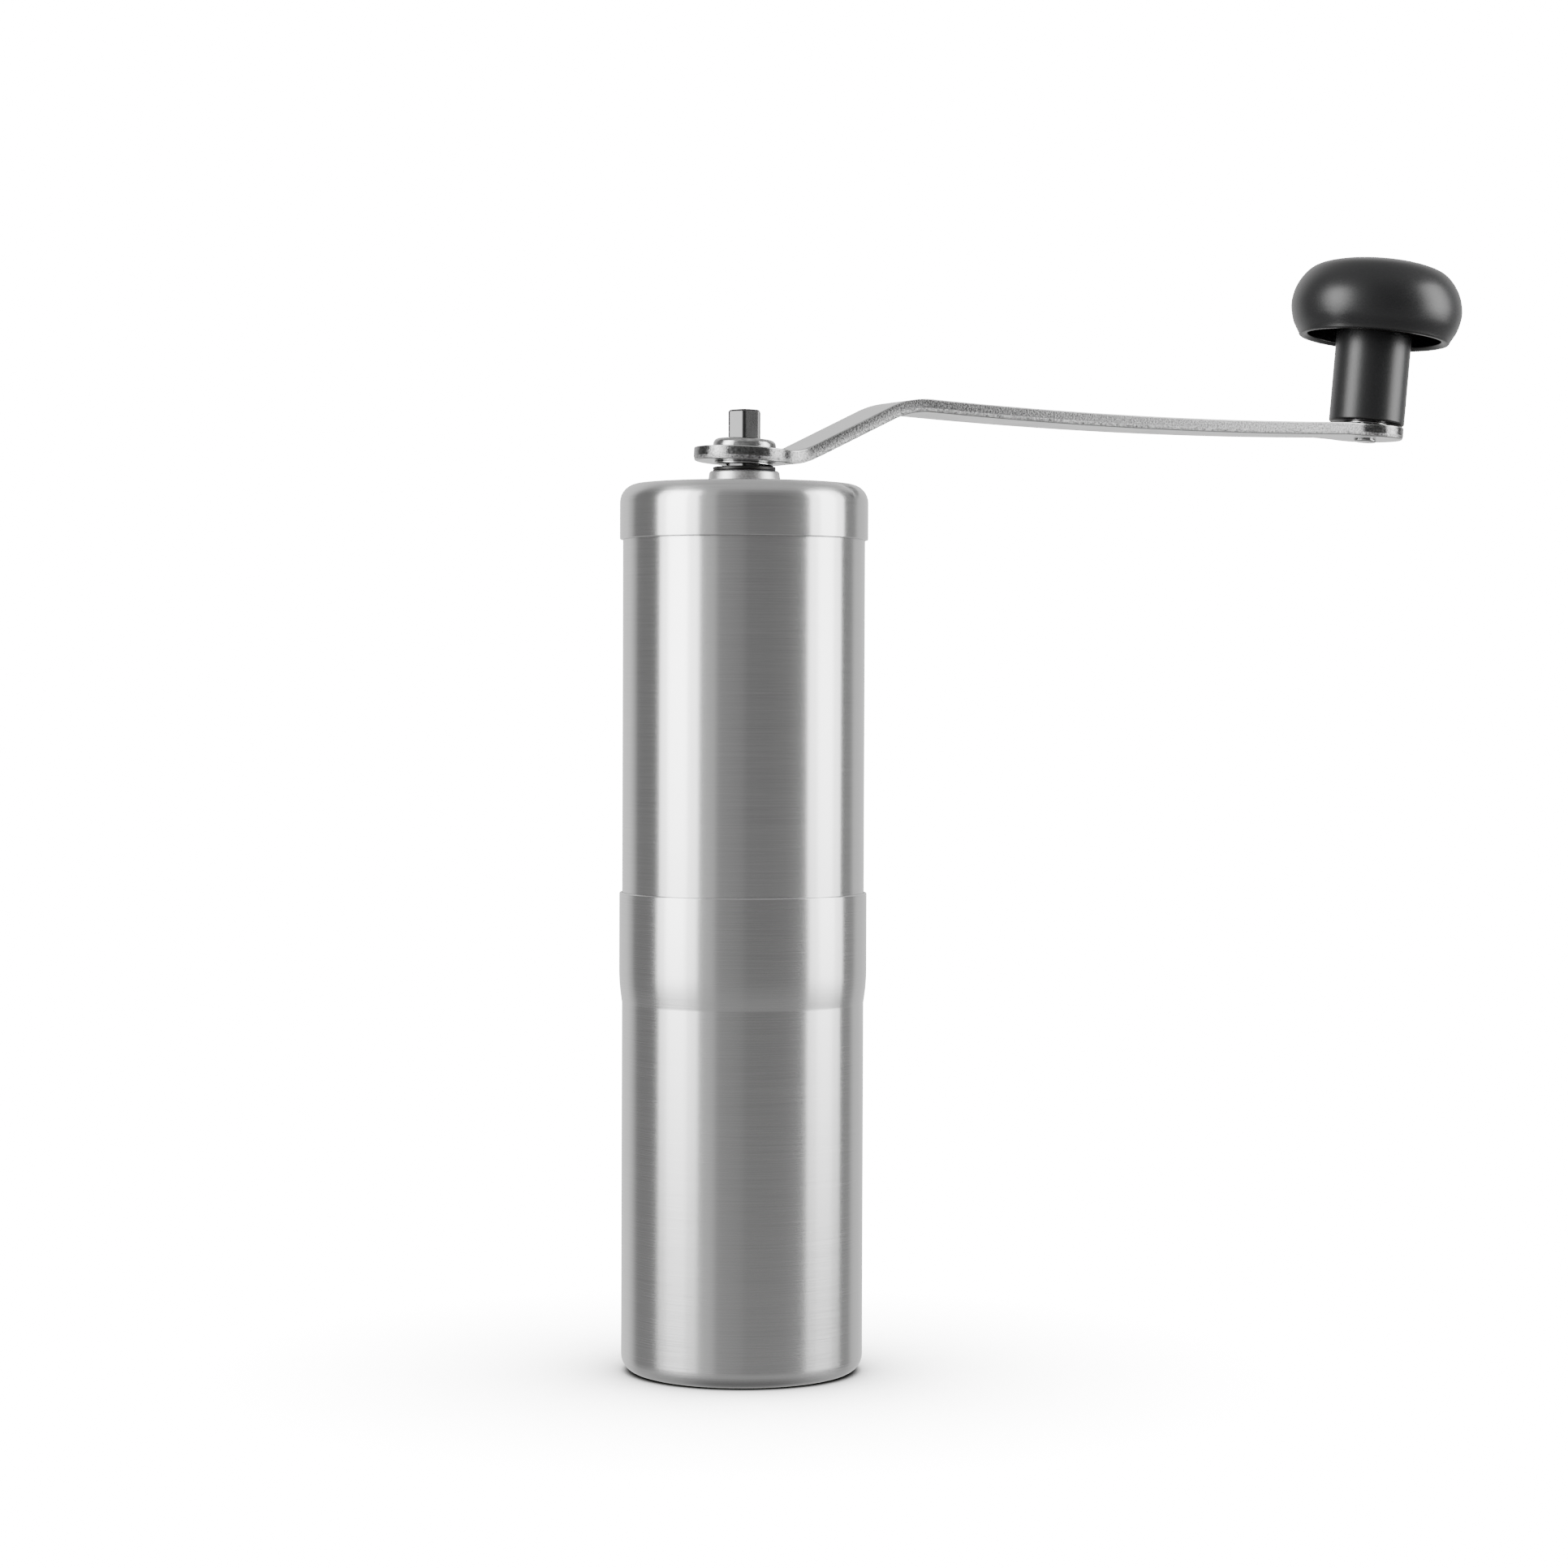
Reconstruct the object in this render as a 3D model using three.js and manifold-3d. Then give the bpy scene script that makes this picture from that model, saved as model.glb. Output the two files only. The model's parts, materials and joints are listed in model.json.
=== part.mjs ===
// Hand crank coffee grinder: a slim stainless mill made of a cup, a barrel and a lid, with conical
// burrs in the barrel and a crank handle that lifts off the top of the shaft.
// Millimetres, +Z up. The origin is the centre of the cup's underside and the handle points along +X.
import * as THREE from "three";
import { mergeVertices } from "three/addons/utils/BufferGeometryUtils.js";
import Module from "manifold-3d";

const wasm = await Module();
wasm.setup();

// Driving dimensions, body.
const BODY_R = 23.5; // cup and barrel outer radius
const CUP_WALL = 1.0;
const CUP_FLOOR = 1.6;
const CUP_CORNER = 3.3; // radius round the cup's bottom edge
const CUP_STRAIGHT = 71.8; // height of the cup's plain wall
const FLARE_HEIGHT = 3.9; // height over which the wall swells into the collar
const COLLAR_HEIGHT = 17.5; // the collar grips the barrel's lower end
const COLLAR_WALL = 0.45;
const BARREL_LENGTH = 92.3;
const BARREL_WALL = 0.8;
const LID_HEIGHT = 10.8; // skirt's lower edge to the lid's top
const LID_WALL = 0.5;
const LID_TOP_WALL = 0.7;
const LID_CORNER = 3.6;
const LINER_DEPTH = 6.2; // how far the liner's plug reaches into the barrel
const LINER_WALL = 1.6;
const LINER_MARGIN = 0.5; // liner's edge inside the barrel's outer face

// Driving dimensions, shaft and its bearings.
const SHAFT_FLATS = 6.15; // across the flats of the six-sided drive end
const SHAFT_CORNER = 0.8; // radius on the six edges
const SHAFT_PROUD = 14.6; // drive end above the lid's top
const SHAFT_CHAMFER = 0.5;
const JOURNAL_R = 3.0; // round length that runs in the bushes
const DRIVE_FLATS = 4.8; // across the two flats that turn the burr
const THREAD_R = 2.5;
const THREAD_LENGTH = 7.0;
const BUSH_WALL = 1.4;
const BUSH_LENGTH = 6.0;
const BUSH_FLANGE = 0.55; // thickness
const BUSH_FLANGE_WIDTH = 0.9;
const WASHER = 0.5; // thickness of a thrust washer
const WASHER_MARGIN = 0.6; // washer's edge beyond the bush

// Driving dimensions, burr set.
const HOUSING_HEIGHT = 16.5;
const HOUSING_WALL = 3.5;
const HOUSING_INSET = 7.0; // barrel's lower edge up to the housing's
const HOUSING_LEDGE = 1.4; // thickness of the lip over the outer burr
const HOUSING_LIP = 2.6; // how far the lip reaches in
const BOSS_RISE = 13.2; // housing ring's top to the bearing boss's underside
const BOSS_HEIGHT = 15.8;
const BOSS_WALL = 2.3;
const LEG_COUNT = 3;
const LEG_THICKNESS = 3.0;
const LEG_INSET = 1.2;
const LEG_CORNER = 4.0;
const RETAINER = 1.8; // thickness of the ring that holds the outer burr in
const RETAINER_WIDTH = 2.4;
const RETAINER_INSET = 1.0;
const RING_BURR_WALL = 3.8; // at the burr's lower edge
const BURR_GAP = 0.6; // between the two burrs where they grind finest
const BURR_HEIGHT = 14.2; // inner burr
const BURR_SLOPE = 7.4; // how much narrower the inner burr is at its top
const BURR_BORE = 6.0;
const BURR_TEETH = 12;
const TOOTH_DEPTH = 0.9;
const TOOTH_TWIST = 0.045; // radians of turn for each millimetre of height
const CARRIER_FLANGE = 1.6; // thickness
const CARRIER_FLANGE_WIDTH = 5.5;
const CARRIER_PROUD = 0.5; // above the inner burr
const SPRING_WIRE = 0.8;
const SPRING_TURNS = 5;
const SPRING_ROOM = 1.4; // journal to the middle of the wire
const WHEEL_R = 9.0;
const WHEEL_HEIGHT = 5.0;
const WHEEL_LOBES = 10;
const LOBE_DEPTH = 0.6;
const NUT_FLATS = 8.0;
const NUT_HEIGHT = 4.5;
const NUT_CORNER = 0.3;

// Driving dimensions, top fittings and handle.
const FERRULE_HEIGHT = 2.55; // above the lid's top
const FERRULE_WALL = 1.0;
const FERRULE_FLANGE = 0.9;
const FERRULE_STEP = 0.8; // height of the flange's straight foot
const FERRULE_SPIGOT = 1.4; // below the liner
const LID_CLIP = 0.6;
const LID_CLIP_WIDTH = 2.2;
const RING_THICKNESS = 0.75; // the black thrust ring
const HUB_WALL = 0.85;
const HUB_RIM = 0.4; // thickness of the hub's lower rim
const HUB_DOME = 1.9; // height of the hub's domed rim above the arm
const HUB_RIM_WIDTH = 1.1;
const HUB_DOME_WIDTH = 1.5;
const DRIVE_PLAY = 0.3; // hub to shaft, each side: the handle sits loosely
const LEAN = THREE.MathUtils.degToRad(2.85); // the loose handle leans down towards its knob
const ARM_THICKNESS = 2.6;
const ARM_WIDTH = 13.6;
const HUB_EYE_R = 9.8;
const KNOB_EYE_R = 7.9;
const EYE_FILLET = 12.0; // where the arm's edges run into its round ends
const REACH = 147.8; // shaft axis to knob axis
const FIRST_BEND = 8.9; // shaft axis to the corner of the first bend
const RAMP_RUN = 23.8; // first bend's corner to the second's, level
const RAMP_ANGLE = THREE.MathUtils.degToRad(28.1);
const BOW_ANGLE = THREE.MathUtils.degToRad(4.5); // the long part bows upwards by this
const EYE_SLOPE = THREE.MathUtils.degToRad(0.5); // the knob's end still rises by this
const PIN_SKEW = THREE.MathUtils.degToRad(3.4); // the riveted pin leans outwards on its eye by this
const EYE_BEND = 9.2; // knob axis to the corner of the last bend
const FIRST_BEND_R = 10;
const SECOND_BEND_R = 20;
const BOW_R = 1200;
const EYE_BEND_R = 30;

// Driving dimensions, knob.
const PIN_R = 2.0;
const PIN_HEAD_R = 2.4;
const PIN_HEAD = 0.4;
const PIN_LENGTH = 29.8; // above the arm
const PIN_WASHER_R = 5.0;
const PIN_WASHER = 0.3;
const CLIP_GROOVE = 0.4;
const CLIP_THICKNESS = 0.5;
const CLIP_WIDTH = 2.1;
const SLEEVE_R = 7.95;
const SLEEVE_TOP = 30.4;
const CAP_RIM = 18.6; // arm's surface to the cap's lower edge
const CAP_HEIGHT = 16.7;
const CAP_R = 18.0;
const CAP_RIM_R = 16.0;
const CAP_RIM_WALL = 2.0;
const CAP_WALL = 2.5;
const CAP_SOCKET = 5.0; // depth
const CAP_SOCKET_WALL = 1.5;
const CAP_LIP = 0.3;
const CAP_WIDEST = 0.42; // share of its height at which the cap is widest

// The cap's outside from above its lip to near its middle, as shares of its radius and its height.
const CAP_DOME = [
  [0.967, 0.2],
  [1, CAP_WIDEST],
  [0.94, 0.66],
  [0.79, 0.86],
  [0.56, 0.955],
  [0.28, 0.994],
  [0, 1],
];

// Clearances.
const SLIP = 0.1; // push and slip fits, each side
const RUN = 0.18; // running fits, each side: more than a facet's sagitta
const SEAT = 0.05; // between faces that rest on each other

// How finely round pieces are divided.
const SHELL_SEGMENTS = 40;
const RING_SEGMENTS = 24;
const BURR_SEGMENTS = 60;
const ARC_STEPS = 2;

// Heights that follow from the sizes above.
const FLARE_TOP = CUP_STRAIGHT + FLARE_HEIGHT;
const COLLAR_TOP = FLARE_TOP + COLLAR_HEIGHT;
const BARREL_BOTTOM = FLARE_TOP + 10 * SEAT;
const BARREL_TOP = BARREL_BOTTOM + BARREL_LENGTH;
const LINER_BOTTOM = BARREL_TOP + 6 * SEAT;
const LID_INNER_CORNER = LID_CORNER - LID_WALL; // starts level with the barrel's rim
const LINER_DISC = LID_INNER_CORNER - 12 * SEAT;
const LID_TOP = LINER_BOTTOM + LINER_DISC + 6 * SEAT + LID_TOP_WALL;
const SHAFT_TOP = LID_TOP + SHAFT_PROUD;
const FERRULE_TOP = LID_TOP + FERRULE_HEIGHT;
const RING_TOP = FERRULE_TOP + SEAT + RING_THICKNESS;
const HOUSING_BOTTOM = BARREL_BOTTOM + HOUSING_INSET;
const HOUSING_TOP = HOUSING_BOTTOM + HOUSING_HEIGHT;
const RING_BURR_TOP = HOUSING_TOP - HOUSING_LEDGE - SEAT;
const RING_BURR_BOTTOM = HOUSING_BOTTOM + RETAINER + RETAINER_INSET;
const CARRIER_BOTTOM = RING_BURR_BOTTOM - CARRIER_FLANGE - SEAT;
const CARRIER_TOP = RING_BURR_BOTTOM + BURR_HEIGHT + CARRIER_PROUD;
const BOSS_BOTTOM = HOUSING_TOP + BOSS_RISE;
const BOSS_TOP = BOSS_BOTTOM + BOSS_HEIGHT;
const SHOULDER = BOSS_TOP + BUSH_FLANGE + WASHER + 3 * SEAT;
const SPRING_TOP = BOSS_BOTTOM - BUSH_FLANGE - WASHER - 3 * SEAT;
const THREAD_BOTTOM = CARRIER_BOTTOM - THREAD_LENGTH;

// Radii that follow from the sizes above.
const BARREL_BORE = BODY_R - BARREL_WALL;
const SLIP_BORE = BODY_R + SLIP; // inside the collar and the lid's skirt
const COLLAR_R = SLIP_BORE + COLLAR_WALL;
const LID_R = SLIP_BORE + LID_WALL;
const HOUSING_R = BARREL_BORE - SLIP;
const BURR_SEAT_R = HOUSING_R - HOUSING_WALL;
const RING_BURR_R = BURR_SEAT_R - SLIP;
const GRIND_R = RING_BURR_R - RING_BURR_WALL;
const INNER_BURR_R = GRIND_R - BURR_GAP;
const SHAFT_R = circumradius(SHAFT_FLATS, SHAFT_CORNER);
const LID_BUSH_BORE = SHAFT_R + RUN;
const LID_BUSH_R = LID_BUSH_BORE + BUSH_WALL;
const FERRULE_BORE = LID_BUSH_R + SLIP;
const FERRULE_R = FERRULE_BORE + FERRULE_WALL;
const LID_HOLE_R = FERRULE_R + 2 * SLIP;
const FERRULE_FLANGE_R = FERRULE_R + FERRULE_FLANGE;
const JOURNAL_BORE = JOURNAL_R + SLIP;
const BUSH_R = JOURNAL_BORE + BUSH_WALL;
const BOSS_BORE = BUSH_R + SLIP;
const HUB_BORE_FLATS = SHAFT_FLATS + 2 * DRIVE_PLAY;
const HUB_NECK_R = circumradius(HUB_BORE_FLATS, SHAFT_CORNER) + HUB_WALL;
const HUB_RIM_R = HUB_NECK_R + HUB_RIM_WIDTH;
const HUB_DOME_R = HUB_NECK_R + HUB_DOME_WIDTH;

// The pin's lean in the handle's frame, and the room its skew takes under the head and the washer.
const PIN_LEAN = PIN_SKEW - EYE_SLOPE;
const HEAD_TOP = -ARM_THICKNESS - SEAT - PIN_HEAD_R * Math.sin(PIN_SKEW);
const PIN_WASHER_Z = SEAT + PIN_WASHER_R * Math.sin(PIN_SKEW);
const SLEEVE_FOOT = PIN_WASHER_Z + PIN_WASHER + SEAT;

// The top of the arm on the shaft's axis: the leaning hub's rim just clears the thrust ring.
const HUB_CLEARANCE = HUB_RIM_R * Math.sin(LEAN) + SEAT;
const ARM_Z = RING_TOP + HUB_CLEARANCE + HUB_RIM + SEAT + ARM_THICKNESS;

const FINISH = {
  brushed: { color: 0xb4b4b2, roughness: 0.34, metalness: 1 },
  plated: { color: 0xc4c4c4, roughness: 0.18, metalness: 1 },
  steel: { color: 0xb0b0b0, roughness: 0.25, metalness: 1 },
  satin: { color: 0xc8c8c6, roughness: 0.4, metalness: 1 },
  brass: { color: 0xb89a5a, roughness: 0.35, metalness: 1 },
  black: { color: 0x1e1e1e, roughness: 0.55, metalness: 0 },
  charcoal: { color: 0x2e2e2f, roughness: 0.5, metalness: 0 },
};

function piece(name, geometry, finish) {
  const mesh = new THREE.Mesh(geometry, new THREE.MeshStandardMaterial(FINISH[finish]));
  mesh.name = name;
  return mesh;
}

// Distance from the axis to a rounded corner of a regular hexagon.
function circumradius(flats, corner) {
  return (flats / 2 - corner) / Math.cos(Math.PI / 6) + corner;
}

// The outline through [x, y, radius] corners as points, each corner with a radius rounded by an arc.
function outline(corners, closed = true, steps = ARC_STEPS) {
  const points = [];
  corners.forEach(([x, y, radius], i) => {
    const corner = new THREE.Vector2(x, y);
    const isEnd = !closed && (i === 0 || i === corners.length - 1);
    if (!radius || isEnd) {
      points.push(corner);
      return;
    }
    const last = corners.at(i - 1);
    const next = corners[(i + 1) % corners.length];
    const back = new THREE.Vector2(last[0] - x, last[1] - y).normalize();
    const ahead = new THREE.Vector2(next[0] - x, next[1] - y).normalize();
    const half = Math.acos(back.dot(ahead)) / 2;
    const middle = back.clone().add(ahead).normalize();
    const centre = corner.clone().addScaledVector(middle, radius / Math.sin(half));
    const start = corner.clone().addScaledVector(back, radius / Math.tan(half)).sub(centre);
    const turn = (Math.PI - 2 * half) * -Math.sign(back.cross(ahead));
    for (let step = 0; step <= steps; step++) {
      const spoke = start.clone().rotateAround(new THREE.Vector2(), (turn * step) / steps);
      points.push(spoke.add(centre));
    }
  });
  return points;
}

// A solid of revolution about Z. The profile holds [radius, height, corner radius] corners and
// either closes on itself or starts and ends on the axis.
function revolve(corners, segments = RING_SEGMENTS) {
  return spin(outline(corners), segments);
}

function spin(points, segments) {
  const profile = THREE.ShapeUtils.area(points) > 0 ? points : points.slice().reverse();
  const onAxis = points[0].x === 0;
  if (!onAxis) profile.push(profile[0].clone());
  if (onAxis && profile[0].x !== 0) profile.push(profile.shift());
  return new THREE.LatheGeometry(profile, segments).rotateX(Math.PI / 2);
}

// A plain ring, or with inner 0 a disc, between two heights.
function ring(inner, outer, bottom, top, segments = RING_SEGMENTS) {
  return revolve([[inner, bottom], [outer, bottom], [outer, top], [inner, top]], segments);
}

// A flat shape drawn in X and Y, raised to stand between two heights.
function prism(shape, bottom, top, curveSegments = 8) {
  const options = { depth: top - bottom, bevelEnabled: false, curveSegments };
  return new THREE.ExtrudeGeometry(shape, options).translate(0, 0, bottom);
}

// A six-sided shape with rounded corners, one of them on the X axis.
function hexagon(flats, corner) {
  const reach = flats / 2 / Math.cos(Math.PI / 6);
  const corners = [];
  for (let side = 0; side < 6; side++) {
    const angle = (side * Math.PI) / 3;
    corners.push([reach * Math.cos(angle), reach * Math.sin(angle), corner]);
  }
  return new THREE.Shape(outline(corners));
}

function solid(geometry) {
  const bare = geometry.clone();
  bare.deleteAttribute("normal");
  bare.deleteAttribute("uv");
  const merged = mergeVertices(bare, 1e-4);
  const vertProperties = new Float32Array(merged.attributes.position.array);
  const triVerts = new Uint32Array(merged.index.array);
  return new wasm.Manifold(new wasm.Mesh({ numProp: 3, vertProperties, triVerts }));
}

function geometryOf(body) {
  const mesh = body.getMesh();
  const geometry = new THREE.BufferGeometry();
  const position = new THREE.BufferAttribute(new Float32Array(mesh.vertProperties), 3);
  geometry.setAttribute("position", position);
  geometry.setIndex(new THREE.BufferAttribute(new Uint32Array(mesh.triVerts), 1));
  return geometry;
}

function join(...geometries) {
  return geometryOf(geometries.map(solid).reduce((whole, next) => whole.add(next)));
}

function cut(geometry, ...tools) {
  return geometryOf(tools.map(solid).reduce((rest, tool) => rest.subtract(tool), solid(geometry)));
}

// The cup: one drawn shell whose wall swells into a collar that slips over the barrel.
function cupShell() {
  const bore = BODY_R - CUP_WALL;
  return revolve(
    [
      [0, 0],
      [BODY_R, 0, CUP_CORNER],
      [BODY_R, CUP_STRAIGHT, 2],
      [COLLAR_R, FLARE_TOP, 4],
      [COLLAR_R, COLLAR_TOP, COLLAR_WALL / 2],
      [SLIP_BORE, COLLAR_TOP],
      [SLIP_BORE, FLARE_TOP],
      [bore, CUP_STRAIGHT],
      [bore, CUP_FLOOR, CUP_CORNER - CUP_WALL],
      [0, CUP_FLOOR],
    ],
    SHELL_SEGMENTS,
  );
}

function barrelTube() {
  return ring(BARREL_BORE, BODY_R, BARREL_BOTTOM, BARREL_TOP, SHELL_SEGMENTS);
}

// One leg of the burr housing, from the ring up and in to the bearing boss.
function housingLeg(turn) {
  const outer = HOUSING_R - LEG_INSET;
  const root = HOUSING_TOP - HOUSING_LEDGE / 2;
  const inner = BOSS_BORE + BOSS_WALL / 2;
  const foot = BURR_SEAT_R - LEG_INSET;
  const side = new THREE.Shape(
    outline([
      [outer, root],
      [outer, HOUSING_TOP + LEG_CORNER + 1, LEG_CORNER],
      [inner, BOSS_BOTTOM + BOSS_HEIGHT * 0.55],
      [inner, BOSS_BOTTOM + 2],
      [foot, HOUSING_TOP + LEG_CORNER - 1, LEG_CORNER],
      [foot, root],
    ]),
  );
  return prism(side, -LEG_THICKNESS / 2, LEG_THICKNESS / 2).rotateX(Math.PI / 2).rotateZ(turn);
}

// The moulded housing: a ring for the outer burr and, on three legs, the boss for the bushes.
function burrHousing() {
  const lip = BURR_SEAT_R - HOUSING_LIP;
  const seat = revolve(
    [
      [BURR_SEAT_R, HOUSING_BOTTOM],
      [HOUSING_R, HOUSING_BOTTOM, 0.5],
      [HOUSING_R, HOUSING_TOP],
      [lip, HOUSING_TOP],
      [lip, HOUSING_TOP - HOUSING_LEDGE],
      [BURR_SEAT_R, HOUSING_TOP - HOUSING_LEDGE],
    ],
    SHELL_SEGMENTS,
  );
  const boss = ring(BOSS_BORE, BOSS_BORE + BOSS_WALL, BOSS_BOTTOM, BOSS_TOP);
  const legs = [];
  for (let leg = 0; leg < LEG_COUNT; leg++) {
    legs.push(housingLeg(((leg + 0.5) * 2 * Math.PI) / LEG_COUNT));
  }
  return join(seat, boss, ...legs);
}

// Helical teeth pressed into every vertex that chosen(radius) picks, by moving it along its radius.
function addTeeth(geometry, chosen, depth) {
  const position = geometry.attributes.position;
  for (let i = 0; i < position.count; i++) {
    const x = position.getX(i);
    const y = position.getY(i);
    const z = position.getZ(i);
    const radius = Math.hypot(x, y);
    if (!chosen(radius)) continue;
    const phase = BURR_TEETH * (Math.atan2(y, x) + TOOTH_TWIST * z);
    const scale = 1 + (depth * (0.5 - 0.5 * Math.cos(phase))) / radius;
    position.setXY(i, x * scale, y * scale);
  }
  return geometry;
}

function outerBurr() {
  const geometry = spin(
    outline([
      [GRIND_R, RING_BURR_BOTTOM],
      [RING_BURR_R, RING_BURR_BOTTOM],
      [RING_BURR_R, RING_BURR_TOP],
      [GRIND_R - 1.4, RING_BURR_TOP],
      [GRIND_R - 0.9, (RING_BURR_TOP + RING_BURR_BOTTOM) / 2],
    ]),
    BURR_SEGMENTS,
  );
  return addTeeth(geometry, (radius) => radius < RING_BURR_R - 1, TOOTH_DEPTH);
}

function innerBurr() {
  const bottom = RING_BURR_BOTTOM;
  const geometry = spin(
    outline([
      [BURR_BORE, bottom],
      [INNER_BURR_R, bottom],
      [INNER_BURR_R - 0.8, bottom + BURR_HEIGHT / 4],
      [INNER_BURR_R - BURR_SLOPE * 0.55, bottom + BURR_HEIGHT * 0.7],
      [INNER_BURR_R - BURR_SLOPE, bottom + BURR_HEIGHT],
      [BURR_BORE, bottom + BURR_HEIGHT],
    ]),
    BURR_SEGMENTS,
  );
  return addTeeth(geometry, (radius) => radius > BURR_BORE + 0.5, -TOOTH_DEPTH);
}

// Two boxes that leave a flat on each side of the axis when they are cut away.
function flatsCutter(flats, bottom, top) {
  const width = 2 * JOURNAL_R;
  const boxes = [-1, 1].map((side) =>
    new THREE.BoxGeometry(2 * width, width, top - bottom).translate(
      0,
      (side * (flats + width)) / 2,
      (bottom + top) / 2,
    ),
  );
  return boxes;
}

// The carrier: keyed to the shaft's two flats, it turns the inner burr and may slide on the shaft.
function burrCarrier() {
  const tube = BURR_BORE - SLIP;
  const flange = BURR_BORE + CARRIER_FLANGE_WIDTH;
  const blank = revolve([
    [0, CARRIER_BOTTOM],
    [flange, CARRIER_BOTTOM, CARRIER_FLANGE / 5],
    [flange, CARRIER_BOTTOM + CARRIER_FLANGE],
    [tube, CARRIER_BOTTOM + CARRIER_FLANGE],
    [tube, CARRIER_TOP],
    [0, CARRIER_TOP],
  ]);
  const below = CARRIER_BOTTOM - 1;
  const above = CARRIER_TOP + 1;
  const bore = ring(0, JOURNAL_BORE, below, above);
  return cut(blank, cut(bore, ...flatsCutter(DRIVE_FLATS + 2 * SLIP, below - 1, above + 1)));
}

function shaft() {
  const flatsTop = CARRIER_TOP + 4;
  const round = revolve([
    [0, THREAD_BOTTOM],
    [THREAD_R, THREAD_BOTTOM, SHAFT_CHAMFER],
    [THREAD_R, CARRIER_BOTTOM],
    [JOURNAL_R, CARRIER_BOTTOM],
    [JOURNAL_R, SHOULDER + 1],
    [0, SHOULDER + 1],
  ]);
  const lower = cut(round, ...flatsCutter(DRIVE_FLATS, CARRIER_BOTTOM, flatsTop));
  const options = {
    depth: SHAFT_TOP - SHOULDER - 2 * SHAFT_CHAMFER,
    bevelThickness: SHAFT_CHAMFER,
    bevelSize: SHAFT_CHAMFER,
    bevelOffset: -SHAFT_CHAMFER,
    bevelSegments: 1,
  };
  const drive = new THREE.ExtrudeGeometry(hexagon(SHAFT_FLATS, SHAFT_CORNER), options);
  return join(lower, drive.translate(0, 0, SHOULDER + SHAFT_CHAMFER));
}

// A flanged bush: a sleeve with its flange at the low or the high end.
function flangedBush(bore, radius, sleeveFrom, sleeveTo, flangeTo) {
  return revolve([
    [bore, flangeTo],
    [radius + BUSH_FLANGE_WIDTH, flangeTo],
    [radius + BUSH_FLANGE_WIDTH, sleeveFrom],
    [radius, sleeveFrom],
    [radius, sleeveTo],
    [bore, sleeveTo],
  ]);
}

class Helix extends THREE.Curve {
  constructor(radius, bottom, top, turns) {
    super();
    Object.assign(this, { radius, bottom, top, turns });
  }
  getPoint(t, target = new THREE.Vector3()) {
    const angle = 2 * Math.PI * this.turns * t;
    const height = this.bottom + (this.top - this.bottom) * t;
    return target.set(this.radius * Math.cos(angle), this.radius * Math.sin(angle), height);
  }
}

// The spring that presses the inner burr down on its adjuster.
function spring() {
  const wire = SPRING_WIRE / 2;
  const margin = wire + 2 * SEAT;
  const coil = JOURNAL_R + SPRING_ROOM;
  const path = new Helix(coil, CARRIER_TOP + margin, SPRING_TOP - margin, SPRING_TURNS);
  const section = new THREE.Shape().absarc(0, 0, wire, 0, 2 * Math.PI);
  const steps = SPRING_TURNS * 12;
  const options = { steps, extrudePath: path, curveSegments: 3, bevelEnabled: false };
  return new THREE.ExtrudeGeometry(section, options);
}

// The adjuster wheel's lobed rim, with a six-sided pocket for its nut.
function adjusterWheel(bottom) {
  const rim = [];
  const steps = WHEEL_LOBES * 6;
  for (let step = 0; step < steps; step++) {
    const angle = (step * 2 * Math.PI) / steps;
    const radius = WHEEL_R + LOBE_DEPTH * Math.cos(WHEEL_LOBES * angle);
    rim.push(new THREE.Vector2(radius * Math.cos(angle), radius * Math.sin(angle)));
  }
  const shape = new THREE.Shape(rim);
  shape.holes.push(hexagon(NUT_FLATS + 2 * SLIP, NUT_CORNER));
  return prism(shape, bottom, bottom + WHEEL_HEIGHT);
}

function adjusterNut(top) {
  const shape = hexagon(NUT_FLATS, NUT_CORNER);
  shape.holes.push(new THREE.Path().absarc(0, 0, THREAD_R + SLIP, 0, 2 * Math.PI));
  return prism(shape, top - NUT_HEIGHT, top);
}

function lidShell() {
  return revolve(
    [
      [LID_HOLE_R, LID_TOP - LID_TOP_WALL],
      [SLIP_BORE, LID_TOP - LID_TOP_WALL, LID_INNER_CORNER],
      [SLIP_BORE, LID_TOP - LID_HEIGHT],
      [LID_R, LID_TOP - LID_HEIGHT, LID_WALL / 3],
      [LID_R, LID_TOP, LID_CORNER],
      [LID_HOLE_R, LID_TOP],
    ],
    SHELL_SEGMENTS,
  );
}

// The moulded liner under the lid: a disc with a plug that centres the lid in the barrel.
function lidLiner() {
  const plug = BARREL_BORE - 2 * SLIP;
  const top = LINER_BOTTOM + LINER_DISC;
  const edge = BODY_R - LINER_MARGIN;
  return revolve(
    [
      [LID_HOLE_R, LINER_BOTTOM],
      [plug - LINER_WALL, LINER_BOTTOM],
      [plug - LINER_WALL, LINER_BOTTOM - LINER_DEPTH],
      [plug, LINER_BOTTOM - LINER_DEPTH, 0.4],
      [plug, LINER_BOTTOM],
      [edge, LINER_BOTTOM],
      [edge, top, LINER_DISC * 0.95],
      [LID_HOLE_R, top],
    ],
    SHELL_SEGMENTS,
  );
}

// The ferrule pressed through the lid: a low domed collar above it and a spigot below it.
function lidFerrule() {
  return revolve([
    [FERRULE_BORE, LINER_BOTTOM - FERRULE_SPIGOT],
    [FERRULE_R, LINER_BOTTOM - FERRULE_SPIGOT],
    [FERRULE_R, LID_TOP + SEAT],
    [FERRULE_FLANGE_R, LID_TOP + SEAT],
    [FERRULE_FLANGE_R, LID_TOP + FERRULE_STEP, FERRULE_FLANGE / 3],
    [FERRULE_FLANGE_R - FERRULE_FLANGE / 4, FERRULE_TOP, FERRULE_FLANGE * 0.65],
    [FERRULE_BORE, FERRULE_TOP],
  ]);
}

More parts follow.
